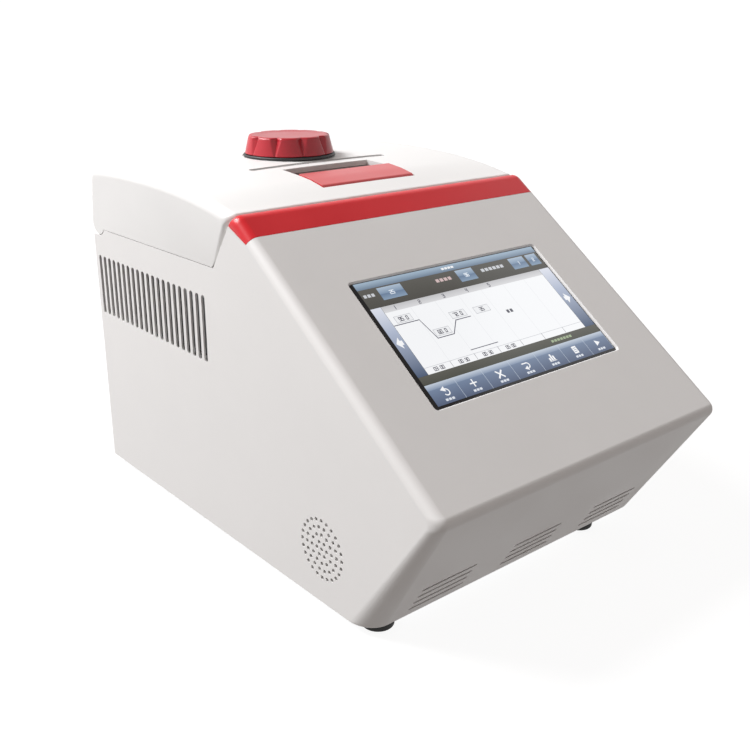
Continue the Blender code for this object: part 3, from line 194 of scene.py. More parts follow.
def rounded(corners, step=FINE):
    points = []
    for i in range(len(corners)):
        points += corner_arc(corners, i, step)
    return points


def rectangle(low, high, radius=0.0):
    corners = ((low[0], low[1]), (high[0], low[1]), (high[0], high[1]), (low[0], high[1]))
    return rounded([(a, b, radius) for a, b in corners], COARSE)


def stadium(centre, half_width, half_height, steps=8):
    """An upright slot with round ends."""
    upper = arc((centre[0], centre[1] + half_height - half_width), half_width, 0, 180, steps)
    lower = arc((centre[0], centre[1] - half_height + half_width), half_width, 180, 360, steps)
    return upper + lower


def inside_line(start, end, distance):
    """The line through two points, moved to its left by a distance."""
    along = (Vector(end) - Vector(start)).normalized()
    return Vector(start) + Vector((-along.y, along.x)) * distance, along


def meet(first, second):
    """Where two lines, each a point and a direction, cross."""
    (p, u), (q, v) = first, second
    t = ((q - p).x * v.y - (q - p).y * v.x) / (u.x * v.y - u.y * v.x)
    return tuple(p + u * t)


def at_height(line, z):
    point, along = line
    return tuple(point + along * ((z - point.y) / along.y))


# ---------------- modelling tools
def add_object(name, mesh):
    thing = bpy.data.objects.new(name, mesh)
    bpy.context.scene.collection.objects.link(thing)
    return thing


def edit(thing, change):
    shape = bmesh.new()
    shape.from_mesh(thing.data)
    change(shape)
    bmesh.ops.recalc_face_normals(shape, faces=shape.faces)
    shape.to_mesh(thing.data)
    shape.free()
    return thing


def from_bmesh(name, shape):
    mesh = bpy.data.meshes.new(name)
    bmesh.ops.recalc_face_normals(shape, faces=shape.faces)
    shape.to_mesh(mesh)
    shape.free()
    return add_object(name, mesh)


def evaluated_mesh(thing):
    depsgraph = bpy.context.evaluated_depsgraph_get()
    return bpy.data.meshes.new_from_object(thing.evaluated_get(depsgraph))


def weld(shape):
    bmesh.ops.remove_doubles(shape, verts=shape.verts, dist=1e-6)
    bmesh.ops.dissolve_limit(shape, angle_limit=0.001, verts=shape.verts, edges=shape.edges)


def sweep(name, loops, low, high, turn):
    """A closed solid: flat outlines, holes included, swept from low to high."""
    curve = bpy.data.curves.new(name, "CURVE")
    curve.dimensions = "2D"
    curve.fill_mode = "BOTH"
    curve.extrude = (high - low) / 2
    for loop in loops:
        spline = curve.splines.new("POLY")
        spline.points.add(len(loop) - 1)
        for point, (a, b) in zip(spline.points, loop):
            point.co = (a, b, 0, 1)
        spline.use_cyclic_u = True
    flat = add_object(name, curve)
    mesh = evaluated_mesh(flat)
    bpy.data.objects.remove(flat)
    mesh.transform(turn @ Matrix.Translation((0, 0, (low + high) / 2)))
    return edit(add_object(name, mesh), weld)


def moved_inwards(corners, roundings, share):
    """The corners after the line that follows each has moved into the shape, by a share of its roundings."""
    lines = []
    for i, (start, end) in enumerate(roundings):
        first = Vector(corners[i][:2])
        last = Vector(corners[(i + 1) % len(corners)][:2])
        along = (last - first).normalized()
        inwards = Vector((along.y, -along.x)) * share
        first = first + inwards * start
        last = last + inwards * end
        lines.append((first, (last - first).normalized()))
    moved = []
    for i, (a, b, radius) in enumerate(corners):
        if roundings[i - 1][1] or roundings[i][0]:
            a, b = meet(lines[i - 1], lines[i])
        moved.append((a, b, radius))
    return moved


def rounding_at(before, after, share):
    """The rounding part of the way round a corner, between the roundings of the lines that meet in it."""
    if before > 0 and after > 0:
        return lerp(before, after, share)
    return max(before, after)


def rounded_prism(name, corners, roundings, half_width, steps=10):
    """A closed solid with flat sides at -half_width and half_width, whose side edges are rounded.

    The corners run clockwise; roundings holds, for the line that follows each of them, the rounding of its
    side edge at the line's start and end."""
    counts = [len(corner_arc(corners, i, FINE)) - 1 for i in range(len(corners))]
    rings = []
    for k in range(steps + 1):
        angle = math.pi / 2 * k / steps
        moved = moved_inwards(corners, roundings, 1 - math.sin(angle))
        ring = []
        for i in range(len(corners)):
            for n, (y, z) in enumerate(corner_arc(moved, i, FINE, counts[i])):
                edge = rounding_at(roundings[i - 1][1], roundings[i][0], n / max(1, counts[i]))
                ring.append((half_width - edge * (1 - math.cos(angle)), y, z))
        rings.append(ring)
    rings += [[(-x, y, z) for x, y, z in ring] for ring in reversed(rings)]
    shape = bmesh.new()
    loops = [[shape.verts.new(point) for point in ring] for ring in rings]
    strips = []
    for first, second in zip(loops, loops[1:]):
        for i in range(len(first)):
            strips.append(shape.faces.new((first[i - 1], first[i], second[i], second[i - 1])))
    bmesh.ops.triangulate(shape, faces=strips)
    shape.faces.new(loops[0])
    shape.faces.new(loops[-1])
    return edit(from_bmesh(name, shape), weld)


def stack_rings(shape, rings):
    """Closes a stack of rings, each a list of points, into a solid with flat ends."""
    loops = [[shape.verts.new(point) for point in ring] for ring in rings]
    shape.faces.new(list(reversed(loops[0])))
    shape.faces.new(loops[-1])
    for lower, upper in zip(loops, loops[1:]):
        for i in range(len(lower)):
            k = (i + 1) % len(lower)
            shape.faces.new((lower[i], lower[k], upper[k], upper[i]))


def box(name, low, high):
    shape = bmesh.new()
    bmesh.ops.create_cube(shape, size=1.0)
    bmesh.ops.scale(shape, vec=Vector(high) - Vector(low), verts=shape.verts)
    bmesh.ops.translate(shape, vec=(Vector(high) + Vector(low)) / 2, verts=shape.verts)
    return from_bmesh(name, shape)


def cylinder(name, start, end, radius, sides=48):
    shape = bmesh.new()
    start = Vector(start)
    end = Vector(end)
    bmesh.ops.create_cone(shape, cap_ends=True, segments=sides, radius1=radius,
                          radius2=radius, depth=(end - start).length)
    aim = (end - start).to_track_quat("Z", "Y").to_matrix().to_4x4()
    bmesh.ops.transform(shape, matrix=Matrix.Translation((start + end) / 2) @ aim, verts=shape.verts)
    return from_bmesh(name, shape)


def turned(name, profile, place, steps=72, ring=False, aim=None):
    """A profile of (radius, height), down its outer side, turned about an axis through place."""
    mesh = bpy.data.meshes.new(name)
    count = len(profile)
    edges = [(i, i + 1) for i in range(count - 1)]
    if ring:
        edges.append((count - 1, 0))
    mesh.from_pydata([(radius, 0, height) for radius, height in profile], edges, [])
    thing = add_object(name, mesh)
    screw = thing.modifiers.new("turn", "SCREW")
    screw.steps = steps
    screw.render_steps = steps
    screw.use_merge_vertices = True
    screw.merge_threshold = 0.000001
    bake(thing)
    edit(thing, lambda shape: bmesh.ops.remove_doubles(shape, verts=shape.verts, dist=1e-7))
    thing.data.transform(Matrix.Translation(place) @ (aim or Matrix.Identity(4)))
    return thing


def bake(thing):
    """Applies an object's modifiers to its own mesh."""
    mesh = evaluated_mesh(thing)
    thing.modifiers.clear()
    thing.data = mesh
    return thing


def combine(thing, tools, operation):
    """Boolean with each tool in turn, applied; the tools are removed."""
    for tool in tools:
        modifier = thing.modifiers.new(tool.name, "BOOLEAN")
        modifier.operation = operation
        modifier.object = tool
    bpy.context.view_layer.update()
    bake(thing)
    for tool in tools:
        bpy.data.objects.remove(tool)
    return thing


def cut(thing, *tools):
    return combine(thing, tools, "DIFFERENCE")


def join(thing, *tools):
    return combine(thing, tools, "UNION")


def soften(thing, width, segments=2):
    """Rounds an object's sharp edges."""
    bevel = thing.modifiers.new("soften", "BEVEL")
    bevel.width = width
    bevel.segments = segments
    bevel.limit_method = "ANGLE"
    bevel.angle_limit = math.radians(SHARP_EDGE)
    bevel.miter_outer = "MITER_ARC"
    return bake(thing)


def smooth(thing, angle):
    thing.data.shade_smooth()
    thing.data.set_sharp_from_angle(angle=math.radians(angle))


def shade(thing):
    smooth(thing, SMOOTH_EDGE)
    normals = thing.modifiers.new("flat_faces_stay_flat", "WEIGHTED_NORMAL")
    normals.keep_sharp = True
    return bake(thing)


def place(thing, look, *nodes):
    """Makes a finished piece: it gets its material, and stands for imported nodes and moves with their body."""
    thing.data.materials.clear()
    thing.data.materials.append(MATERIALS[look])
    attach(thing, NODES[nodes[0]]["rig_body"] if nodes else "base")
    if nodes:
        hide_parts(*nodes)


def finish(thing, width, look, *nodes, segments=2):
    """Rounds a piece's sharp edges, shades it and places it."""
    soften(thing, width, segments)
    shade(thing)
    place(thing, look, *nodes)


def merged(name, things):
    """One mesh of several objects, which are removed."""
    shape = bmesh.new()
    for thing in things:
        thing.data.transform(thing.matrix_world)
        shape.from_mesh(thing.data)
        bpy.data.objects.remove(thing)
    mesh = bpy.data.meshes.new(name)
    shape.to_mesh(mesh)
    shape.free()
    return add_object(name, mesh)


# ---------------- materials
SCRATCHES = 300          # how close together the scratches of brushed metal lie
SCRATCH_DEPTH = 0.00002


class Look:
    """A node tree being built: a material's, or the world's."""

    def __init__(self, name="", owner=None):
        self.owner = owner or bpy.data.materials.new(name)
        self.owner.use_nodes = True
        self.nodes = self.owner.node_tree.nodes
        self.shader = self.nodes["Background" if owner else "Principled BSDF"]

    def join(self, source, target):
        self.owner.node_tree.links.new(source, target)

    def drive(self, source, *names):
        for name in names:
            self.join(source, self.shader.inputs[name])

    def set(self, **values):
        """Constant inputs of the shader, their names written with underscores."""
        for name, value in values.items():
            self.shader.inputs[name.replace("_", " ")].default_value = value

    def texture(self, kind, scale, where=None, **settings):
        """A texture on the object's own coordinates, in metres, or on other ones."""
        if where is None:
            place = self.nodes.get("where") or self.nodes.new("ShaderNodeTexCoord")
            place.name = "where"
            where = place.outputs["Object"]
        made = self.nodes.new("ShaderNodeTex" + kind)
        for key, value in {"Scale": scale, **settings}.items():
            made.inputs[key.replace("_", " ")].default_value = value
        self.join(where, made.inputs["Vector"])
        return made

    def ramp(self, source, low, high, low_value, high_value):
        """Remaps a texture's value to a number between two limits."""
        made = self.nodes.new("ShaderNodeMapRange")
        limits = {"From Min": low, "From Max": high, "To Min": low_value, "To Max": high_value}
        for key, value in limits.items():
            made.inputs[key].default_value = value
        self.join(source, made.inputs["Value"])
        return made.outputs["Result"]

    def tint(self, factor, first, second):
        """The shader's colour, between two by a factor."""
        mix = self.nodes.new("ShaderNodeMix")
        mix.data_type = "RGBA"
        mix.inputs["A"].default_value = (*first, 1.0)
        mix.inputs["B"].default_value = (*second, 1.0)
        self.join(factor, mix.inputs["Factor"])
        self.drive(mix.outputs["Result"], "Base Color")

    def bump(self, height, strength, distance):
        made = self.nodes.new("ShaderNodeBump")
        made.inputs["Strength"].default_value = strength
        made.inputs["Distance"].default_value = distance
        self.join(height, made.inputs["Height"])
        self.drive(made.outputs["Normal"], "Normal")


def scaled(colour, factor):
    return tuple(min(1.0, channel * factor) for channel in colour)


def moulded(name, colour, roughness, grain=2600, depth=0.00003, spread=0.05, mottle=0.03, coat=0.0,
            specular=0.5):
    """Moulded plastic: a fine grain, and slow changes of colour and gloss."""
    look = Look(name)
    slow = look.texture("Noise", 22, Detail=4.0, Roughness=0.6).outputs["Fac"]
    fine = look.texture("Noise", grain, Detail=2.0, Roughness=0.5).outputs["Fac"]
    look.tint(look.ramp(slow, 0.3, 0.7, 0, 1), scaled(colour, 1 - mottle), scaled(colour, 1 + mottle))
    look.drive(look.ramp(slow, 0.3, 0.7, roughness - spread, roughness + spread), "Roughness")
    look.bump(fine, 0.35, depth)
    look.set(Specular_IOR_Level=specular, Coat_Weight=coat, Coat_Roughness=0.15)
    return look.owner


def brushed(name, colour, roughness, stretch):
    """Metal with fine scratches along one direction and a cloudy polish."""
    look = Look(name)
    cloud = look.texture("Noise", 35, Detail=3.0).outputs["Fac"]
    mapping = look.nodes.new("ShaderNodeMapping")
    mapping.inputs["Scale"].default_value = stretch
    look.join(look.nodes["where"].outputs["Object"], mapping.inputs["Vector"])
    lines = look.texture("Noise", SCRATCHES, mapping.outputs["Vector"], Detail=3.0).outputs["Fac"]
    look.tint(cloud, scaled(colour, 0.93), scaled(colour, 1.05))
    look.drive(look.ramp(lines, 0.3, 0.7, roughness - 0.08, roughness + 0.10), "Roughness")
    look.bump(lines, 0.3, SCRATCH_DEPTH)
    look.set(Metallic=1.0)
    return look.owner


def galvanised(name, colour, roughness):
    """Zinc-plated sheet: flat crystals of slightly different brightness."""
    look = Look(name)
    cells = look.texture("Voronoi", 180, Randomness=1.0)
    grey = look.nodes.new("ShaderNodeRGBToBW")
    look.join(cells.outputs["Color"], grey.inputs["Color"])
    grey = grey.outputs["Val"]
    look.tint(grey, scaled(colour, 0.90), scaled(colour, 1.06))
    look.drive(look.ramp(grey, 0, 1, roughness - 0.06, roughness + 0.08), "Roughness")
    look.bump(look.texture("Noise", 1500, Detail=2.0).outputs["Fac"], 0.2, 0.00002)
    look.set(Metallic=1.0)
    return look.owner


def board_material(name):
    """Green solder mask over copper tracks that show through as lighter lines."""
    look = Look(name)
    tracks = look.texture("Brick", 160, Color1=(0.010, 0.110, 0.045, 1), Color2=(0.014, 0.130, 0.055, 1),
                          Mortar=(0.030, 0.230, 0.100, 1), Mortar_Size=0.03)
    look.drive(tracks.outputs["Color"], "Base Color")
    fine = look.texture("Noise", 900, Detail=2.0).outputs["Fac"]
    look.drive(look.ramp(fine, 0.3, 0.7, 0.35, 0.5), "Roughness")
    look.bump(tracks.outputs["Fac"], 0.2, 0.00003)
    return look.owner


def picture_material(name):
    """The lit picture behind the screen's glass: its colours are stored on the mesh."""
    look = Look(name)
    stored = look.nodes.new("ShaderNodeVertexColor")
    stored.layer_name = "picture"
    look.drive(stored.outputs["Color"], "Emission Color")
    smear = look.texture("Noise", 30, Detail=3.0).outputs["Fac"]
    look.drive(look.ramp(smear, 0.35, 0.7, 0.12, 0.22), "Roughness")
    look.set(Base_Color=(0.02, 0.02, 0.02, 1), Emission_Strength=0.92)
    return look.owner


def floor_material(name):
    """Pale, matt and lit from within, so that only a soft shadow shows on it."""
    look = Look(name)
    look.tint(look.texture("Noise", 3, Detail=2.0).outputs["Fac"], (0.17, 0.17, 0.17), (0.19, 0.19, 0.19))
    look.set(Roughness=1.0, Specular_IOR_Level=0.0, Emission_Color=(1, 1, 1, 1), Emission_Strength=0.91)
    return look.owner


MATERIALS = {
    "case": moulded("case_plastic", (0.80, 0.785, 0.775), 0.47, grain=2200, depth=0.00003, mottle=0.012),
    "lid": moulded("lid_plastic", (0.81, 0.80, 0.79), 0.42, grain=2600, depth=0.00002, mottle=0.012),
    "band": moulded("band_plastic", (0.70, 0.020, 0.028), 0.34, grain=3000, depth=0.000015, coat=0.10,
                    specular=0.30),
    "knob": moulded("knob_plastic", (0.44, 0.018, 0.030), 0.36, grain=2400, depth=0.00003, coat=0.15,
                    specular=0.35),
    "paddle": moulded("paddle_plastic", (0.62, 0.07, 0.075), 0.36, grain=2600, depth=0.00002, coat=0.2),
    "grey": moulded("grey_plastic", (0.33, 0.325, 0.32), 0.52, grain=2000, depth=0.00004),
    "pocket": moulded("pocket_plastic", (0.36, 0.33, 0.315), 0.55, grain=2000, depth=0.00004),
    "black": moulded("black_plastic", (0.018, 0.018, 0.019), 0.45, grain=1800, depth=0.00005, mottle=0.15),
    "rubber": moulded("foot_rubber", (0.014, 0.014, 0.014), 0.80, grain=1400, depth=0.00008, mottle=0.25),
    "cloth": moulded("speaker_cloth", (0.012, 0.012, 0.013), 0.90, grain=900, depth=0.00008, mottle=0.3),
    "silicone": moulded("seal_silicone", (0.10, 0.10, 0.105), 0.70, grain=1500, depth=0.00004),
    "ceramic": moulded("ceramic", (0.80, 0.79, 0.76), 0.55, grain=1200, depth=0.00003),
    "glass": moulded("screen_glass", (0.010, 0.010, 0.012), 0.10, grain=60, depth=0.0, spread=0.03,
                     mottle=0.2),
    "block": brushed("block_metal", (0.83, 0.83, 0.84), 0.30, stretch=(40, 1, 1)),
    "aluminium": brushed("milled_aluminium", (0.72, 0.73, 0.74), 0.34, stretch=(1, 30, 1)),
    "steel": brushed("satin_steel", (0.56, 0.56, 0.57), 0.32, stretch=(30, 1, 1)),
    "zinc": galvanised("zinc_sheet", (0.62, 0.63, 0.64), 0.40),
    "board": board_material("circuit_board"),
    "picture": picture_material("screen_picture"),
}


# ---------------- the case's outer forms
def lid_top(y):
    run = y - LID_PEAK_Y
    return LID_PEAK - LID_ARC * run ** 2 - LID_DROOP * run ** 4


def lid_surface(y):
    """Height of the lid's top along its centre line."""
    return lid_top(y) + LID_CROWN * min(max((y - BROW_TOP[0]) / CROWN_RUN, 0), 1)


def lid_front_line():
    """The lid's front face, which leans back along the brow of the case."""
    top, along = inside_line(BROW_FOOT, BROW_TOP, 0)
    return top + Vector((LID_FRONT_GAP, 0)), along


def crown(thing, drop=0.0, count=25):
    """Raises the middle of a lid-shaped solid: its top is highest along the centre line."""

    def change(shape):
        for i in range(1, count):
            x = lerp(-HALF, HALF, i / count)
            everything = shape.verts[:] + shape.edges[:] + shape.faces[:]
            bmesh.ops.bisect_plane(shape, geom=everything, plane_co=(x, 0, 0), plane_no=(1, 0, 0))
        for vertex in shape.verts:
            height = (vertex.co.z - CROWN_FOOT + drop) / CROWN_RISE
            along = (vertex.co.y - BROW_TOP[0]) / CROWN_RUN
            lift = LID_CROWN * (1 - (vertex.co.x / HALF) ** 2)
            vertex.co.z += lift * min(max(height, 0), 1) * min(max(along, 0), 1)
        bmesh.ops.triangulate(shape, faces=shape.faces)

    return edit(thing, change)


def case_corners():
    """The outside of the case as corners (y, z, radius), from the rear foot forward and over the top."""
    heel = arc(HINGE, HEEL_RADIUS + HEEL_GAP, HEEL_START, 270, 12)
    corners = [(REAR, FEET, 0), (*FRONT_FOOT, 0.003), (*NOSE, NOSE_RADIUS), (*BEND, BEND_RADIUS),
               (*BROW_TOP, 0), (*BROW_FOOT, 0)]
    corners += [(y, z, 0) for y, z in heel]
    corners.append((REAR, heel[-1][1], 0))
    return corners


def under_rounding(z):
    return lerp(UNDER_EDGE, SLANT_EDGE, (z - FEET) / (NOSE[1] - FEET))


def side_roundings(corners, first, depth=0.0, flat=False):
    """The roundings along the undercut, which follows corner number first, the slant and the flat top."""
    roundings = [(0.0, 0.0)] * len(corners)
    start, end = corners[first][1], corners[first + 1][1]
    roundings[first] = (under_rounding(start) - depth, under_rounding(end) - depth)
    slant = (SLANT_EDGE - depth, SLANT_EDGE - depth)
    roundings[first + 1] = slant
    if flat:
        roundings[first + 2] = slant
    return roundings


def case_solid(name):
    corners = case_corners()
    return rounded_prism(name, corners, side_roundings(corners, 1, flat=True), HALF)


def case_hollow(name, depth):
    """The inside of the case, a wall's depth in, open below, behind and above the deck."""
    under = inside_line(NOSE, FRONT_FOOT, depth)
    slant = inside_line(BEND, NOSE, depth)
    brow = inside_line(BROW_FOOT, BROW_TOP, depth)
    below = FEET - 0.020
    above = LID_FOOT + 0.020
    beyond = REAR + 0.010
    ledge = BROW_FOOT[1] - 0.0039
    behind_brow = BROW_FOOT[0] + 0.001
    corners = [(beyond, below, 0), (*at_height(under, below), 0), (*meet(under, slant), NOSE_RADIUS - depth),
               (*meet(slant, brow), 0), (*at_height(brow, ledge), 0), (behind_brow, ledge, 0),
               (behind_brow, above, 0), (beyond, above, 0)]
    return rounded_prism(name, corners, side_roundings(corners, 1, depth), HALF - depth)


def band_region(name, spare):
    """The stretch of the case's surface that the trim band takes, grown by spare."""
    outside = 0.006
    inside = 0.0055
    drop = 0.0065       # down the brow, behind the band
    slant = (Vector(NOSE) - Vector(BEND)).normalized()
    inward = Vector((-slant.y, slant.x))
    low_edge = Vector(BEND) + slant * (BAND_LENGTH + spare)
    brow = inside_line(BROW_FOOT, BROW_TOP, 0)
    top = Vector(at_height(brow, BROW_TOP[1] + outside))
    bottom = Vector(at_height(brow, BROW_TOP[1] - drop - spare))
    behind = Vector((0.0004 if spare else 0.0, 0))
    corners = [tuple(low_edge - inward * outside), tuple(low_edge + inward * (inside + spare)),
               tuple(bottom + behind), tuple(top + behind)]
    return sweep(name, [corners], -HALF - 0.005, HALF + 0.005, SIDE)


def band_core(name, depth):
    """What lies under the band: the case's own form, a depth further in."""
    under = inside_line(NOSE, FRONT_FOOT, depth)
    slant = inside_line(BEND, NOSE, depth)
    flat = inside_line(BROW_TOP, BEND, depth)
    back = 0.030
    wall = (Vector((back, 0)), Vector((0, 1)))
    corners = [(back, FEET, 0), (*at_height(under, FEET), 0), (*meet(under, slant), NOSE_RADIUS - depth),
               (*meet(slant, flat), BEND_RADIUS - depth), (*meet(flat, wall), 0)]
    return rounded_prism(name, corners, side_roundings(corners, 1, depth, flat=True), HALF - depth)


def slant_place(down):
    """A frame on the slanted front: X across, Y up the slant, Z out of it."""
    up = (Vector(BEND) - Vector(NOSE)).normalized()
    spot = Vector(BEND) - up * down
    return Matrix.Translation((0, spot.x, spot.y)) @ Matrix.Rotation(math.atan2(up.y, up.x), 4, "X")


def under_place():
    """A frame at the foot of the undercut: X across, Y up it, Z out of it."""
    up = (Vector(NOSE) - Vector(FRONT_FOOT)).normalized()
    return Matrix.Translation((0, *FRONT_FOOT)) @ Matrix.Rotation(math.atan2(up.y, up.x), 4, "X")


# ---------------- case pieces
def side_slots():
    return [stadium((FIRST_SLOT - SLOT_PITCH * i, SLOT_Z), *SLOT_HALF) for i in range(SLOT_COUNT)]


def ring_holes(centre, pitch, radius):
    """Round holes in rings of 1, 6, 12, 18 and 24."""
    holes = [circle(centre, radius, 12)]
    for ring in range(1, 5):
        count = 6 * ring
        for i in range(count):
            angle = 2 * math.pi * i / count
            spot = (centre[0] + ring * pitch * math.cos(angle), centre[1] + ring * pitch * math.sin(angle))
            holes.append(circle(spot, radius, 12))
    return holes


def under_slots():
    """Three groups of four flat slots near the foot of the undercut."""
    slots = []
    for group in (-1, 0, 1):
        for row in range(INTAKE_ROWS):
            low = (group * INTAKE_PITCH - INTAKE_SLOT[0] / 2, INTAKE_FOOT + INTAKE_ROW * row)
            slots.append(rectangle(low, (low[0] + INTAKE_SLOT[0], low[1] + INTAKE_SLOT[1]), 0.001))
    return slots


def screen_opening():
    """The screen's opening, which widens towards the outside."""
    half_width, half_height = SCREEN_OPENING[0] / 2, SCREEN_OPENING[1] / 2
    flare = 0.0011
    rings = []
    for depth, grow in ((-0.010, 0.0), (-0.0010, 0.0), (0.0003, flare), (0.008, flare)):
        a, b = half_width + grow, half_height + grow
        rings.append([(*point, depth) for point in rectangle((-a, -b), (a, b), 0.002 + grow)])
    shape = bmesh.new()
    stack_rings(shape, rings)
    opening = from_bmesh("screen_opening", shape)
    opening.data.transform(slant_place(SCREEN_MIDDLE))
    return opening


def thin_walls():
    """Recesses inside the wall, which is thin where the vents, slots and speaker holes are."""
    tools = []
    bottom = SLOT_Z - SLOT_HALF[1] - 0.002
    top = SLOT_Z + SLOT_HALF[1] + 0.002
    for side in (-1, 1):
        near, far = sorted((side * (HALF - THIN_WALL), side * (HALF - RECESS_DEPTH)))
        tools.append(box(f"vent_recess_{side}", (near, LAST_SLOT - 0.004, bottom), (far, REAR - WALL, top)))
    tools.append(cylinder("speaker_recess", (-HALF + THIN_WALL, *SPEAKER), (-HALF + RECESS_DEPTH, *SPEAKER),
                          CLOTH_RADIUS + CLEAR))
    intake = box("intake_recess", (-0.104, 0.0065, -RECESS_DEPTH), (0.104, 0.0345, -THIN_WALL))
    intake.data.transform(under_place())
    return tools + [intake]


def make_speaker_cloth():
    """Black woven cloth behind the speaker's holes."""
    front = -HALF + THIN_WALL + 0.0001
    cloth = cylinder("speaker_cloth", (front, *SPEAKER), (front + 0.0006, *SPEAKER), CLOTH_RADIUS, 64)
    finish(cloth, 0.0002, "cloth")


def make_case():
    shell = case_solid("case_skin")
    hollow = case_hollow("case_hollow", WALL)
    rebate = cut(band_region("band_rebate", CLEAR), band_core("rebate_core", BAND_THICKNESS + CLEAR))
    vents = sweep("side_vents", side_slots(), -HALF - BEYOND, HALF + BEYOND, SIDE)
    holes = ring_holes(SPEAKER, SPEAKER_PITCH, SPEAKER_HOLE)
    holes = sweep("speaker_holes", holes, -HALF - BEYOND, -HALF + BEYOND, SIDE)
    intake = sweep("intake_slots", under_slots(), -BEYOND, BEYOND, TOP)
    intake.data.transform(under_place())
    cut(shell, hollow, rebate, screen_opening(), vents, holes, intake, *thin_walls())
    finish(shell, 0.00035, "case", "body_shell")


def make_band():
    band = case_solid("trim_band")
    combine(band, [band_region("band_region", 0)], "INTERSECT")
    cut(band, band_core("band_core", BAND_THICKNESS))
    finish(band, 0.00030, "band", "red_band")


def make_feet():
    """Rubber feet: a tapered pad with a rounded rim and a hollow underneath."""
    top = FEET - CLEAR
    stem = 0.0030
    pad = rounded([(stem, top, 0), (0.0105, top, 0.0006), (0.0098, 0.0, 0.0014), (0.0040, 0, 0)], COARSE)
    for corner in ("front_left", "rear_left", "front_right", "rear_right"):
        low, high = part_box(f"foot_{corner}")
        profile = [(0, high.z), (stem, high.z), (stem, top)] + pad[1:] + [(0.0035, 0.0012), (0, 0.0012)]
        foot = turned(f"rubber_foot_{corner}", profile, ((low.x + high.x) / 2, (low.y + high.y) / 2, 0))
        shade(foot)
        place(foot, "rubber", f"foot_{corner}")


# ---------------- screen picture
WHITE = (0.95, 0.96, 0.98)
INK = (0.10, 0.10, 0.13)
DARK = (0.075, 0.072, 0.062)
PALE = (0.62, 0.64, 0.68)
BLUE_TOP = (0.55, 0.62, 0.72)
BLUE_LOW = (0.07, 0.10, 0.18)
SKY = (0.38, 0.50, 0.62)
PICTURE_SCALE = 1.0041
PICTURE_SHIFT = (1.9, 0.75)     # from the opening's corner to the picture's own, right and up, in mm
PICTURE_DEPTH = 0.0015


class Picture:
    """Flat shapes in the screen's plane, in millimetres from the opening's top left corner."""

    def __init__(self):
        self.shape = bmesh.new()
        self.colour = self.shape.loops.layers.float_color.new("picture")

    def face(self, points, colours, level):
        corners = []
        for a, b in points:
            x = (a * PICTURE_SCALE + PICTURE_SHIFT[0]) / 1000 - SCREEN_OPENING[0] / 2
            y = SCREEN_OPENING[1] / 2 - (b * PICTURE_SCALE - PICTURE_SHIFT[1]) / 1000
            corners.append(self.shape.verts.new((x, y, level * 0.00002)))
        made = self.shape.faces.new(corners)
        for loop, colour in zip(made.loops, colours):
            loop[self.colour] = (*colour, 1.0)

    def rect(self, left, top, right, bottom, colour, level=1, low_colour=None):
        low_colour = low_colour or colour
        self.face([(left, bottom), (right, bottom), (right, top), (left, top)],
                  [low_colour, low_colour, colour, colour], level)

    def polygon(self, points, colour, level=3):
        self.face(points, [colour] * len(points), level)

    def line(self, points, width, colour, level=3):
        for (a, b), (c, d) in zip(points, points[1:]):
            along = Vector((c - a, d - b)).normalized()
            side = Vector((-along.y, along.x)) * width / 2
            along = along * width / 2
            corners = [Vector((a, b)) - side - along, Vector((c, d)) - side + along,
                       Vector((c, d)) + side + along, Vector((a, b)) + side - along]
            self.polygon([tuple(corner) for corner in corners], colour, level)

    def disc_ring(self, centre, radius, width, start, end, colour, steps=10):
        outer = arc(centre, radius, start, end, steps)
        inner = arc(centre, radius - width, start, end, steps)
        for i in range(steps):
            self.polygon([outer[i], outer[i + 1], inner[i + 1], inner[i]], colour)

    def number(self, text, centre, height, colour, level=4):
        """Numerals drawn with straight strokes, like a seven-segment display."""
        step = height * 0.72
        left = centre[0] - step * len(text) / 2 + height * 0.10
        strokes = {"a": (0, 0, 1, 0), "b": (1, 0, 1, 1), "c": (1, 1, 1, 2), "d": (0, 2, 1, 2),
                   "e": (0, 1, 0, 2), "f": (0, 0, 0, 1), "g": (0, 1, 1, 1)}
        digits = {"0": "abcdef", "1": "bc", "2": "abged", "3": "abgcd", "4": "fgbc", "5": "afgcd",
                  "6": "afgedc", "7": "abc", "8": "abcdefg", "9": "abcdfg"}
        for i, sign in enumerate(text):
            base = left + i * step
            top = centre[1] - height / 2
            if sign in digits:
                for stroke in digits[sign]:
                    x0, y0, x1, y1 = strokes[stroke]
                    scale = height * 0.5
                    self.line([(base + x0 * scale, top + y0 * scale), (base + x1 * scale, top + y1 * scale)],
                              height * 0.20, colour, level)
            else:
                x = base + height * 0.25
                dot = height * 0.07
                for share in (0.3, 0.75) if sign == ":" else (0.93,):
                    y = top + height * share
                    self.rect(x - dot, y - dot, x + dot, y + dot, colour, level)

    def words(self, left, top, count, width, height, colour):
        """A caption shown only as short blocks, with no letters."""
        for _ in range(count):
            self.rect(left, top, left + width, top + height, colour, 3)
            left += width + height * 0.35


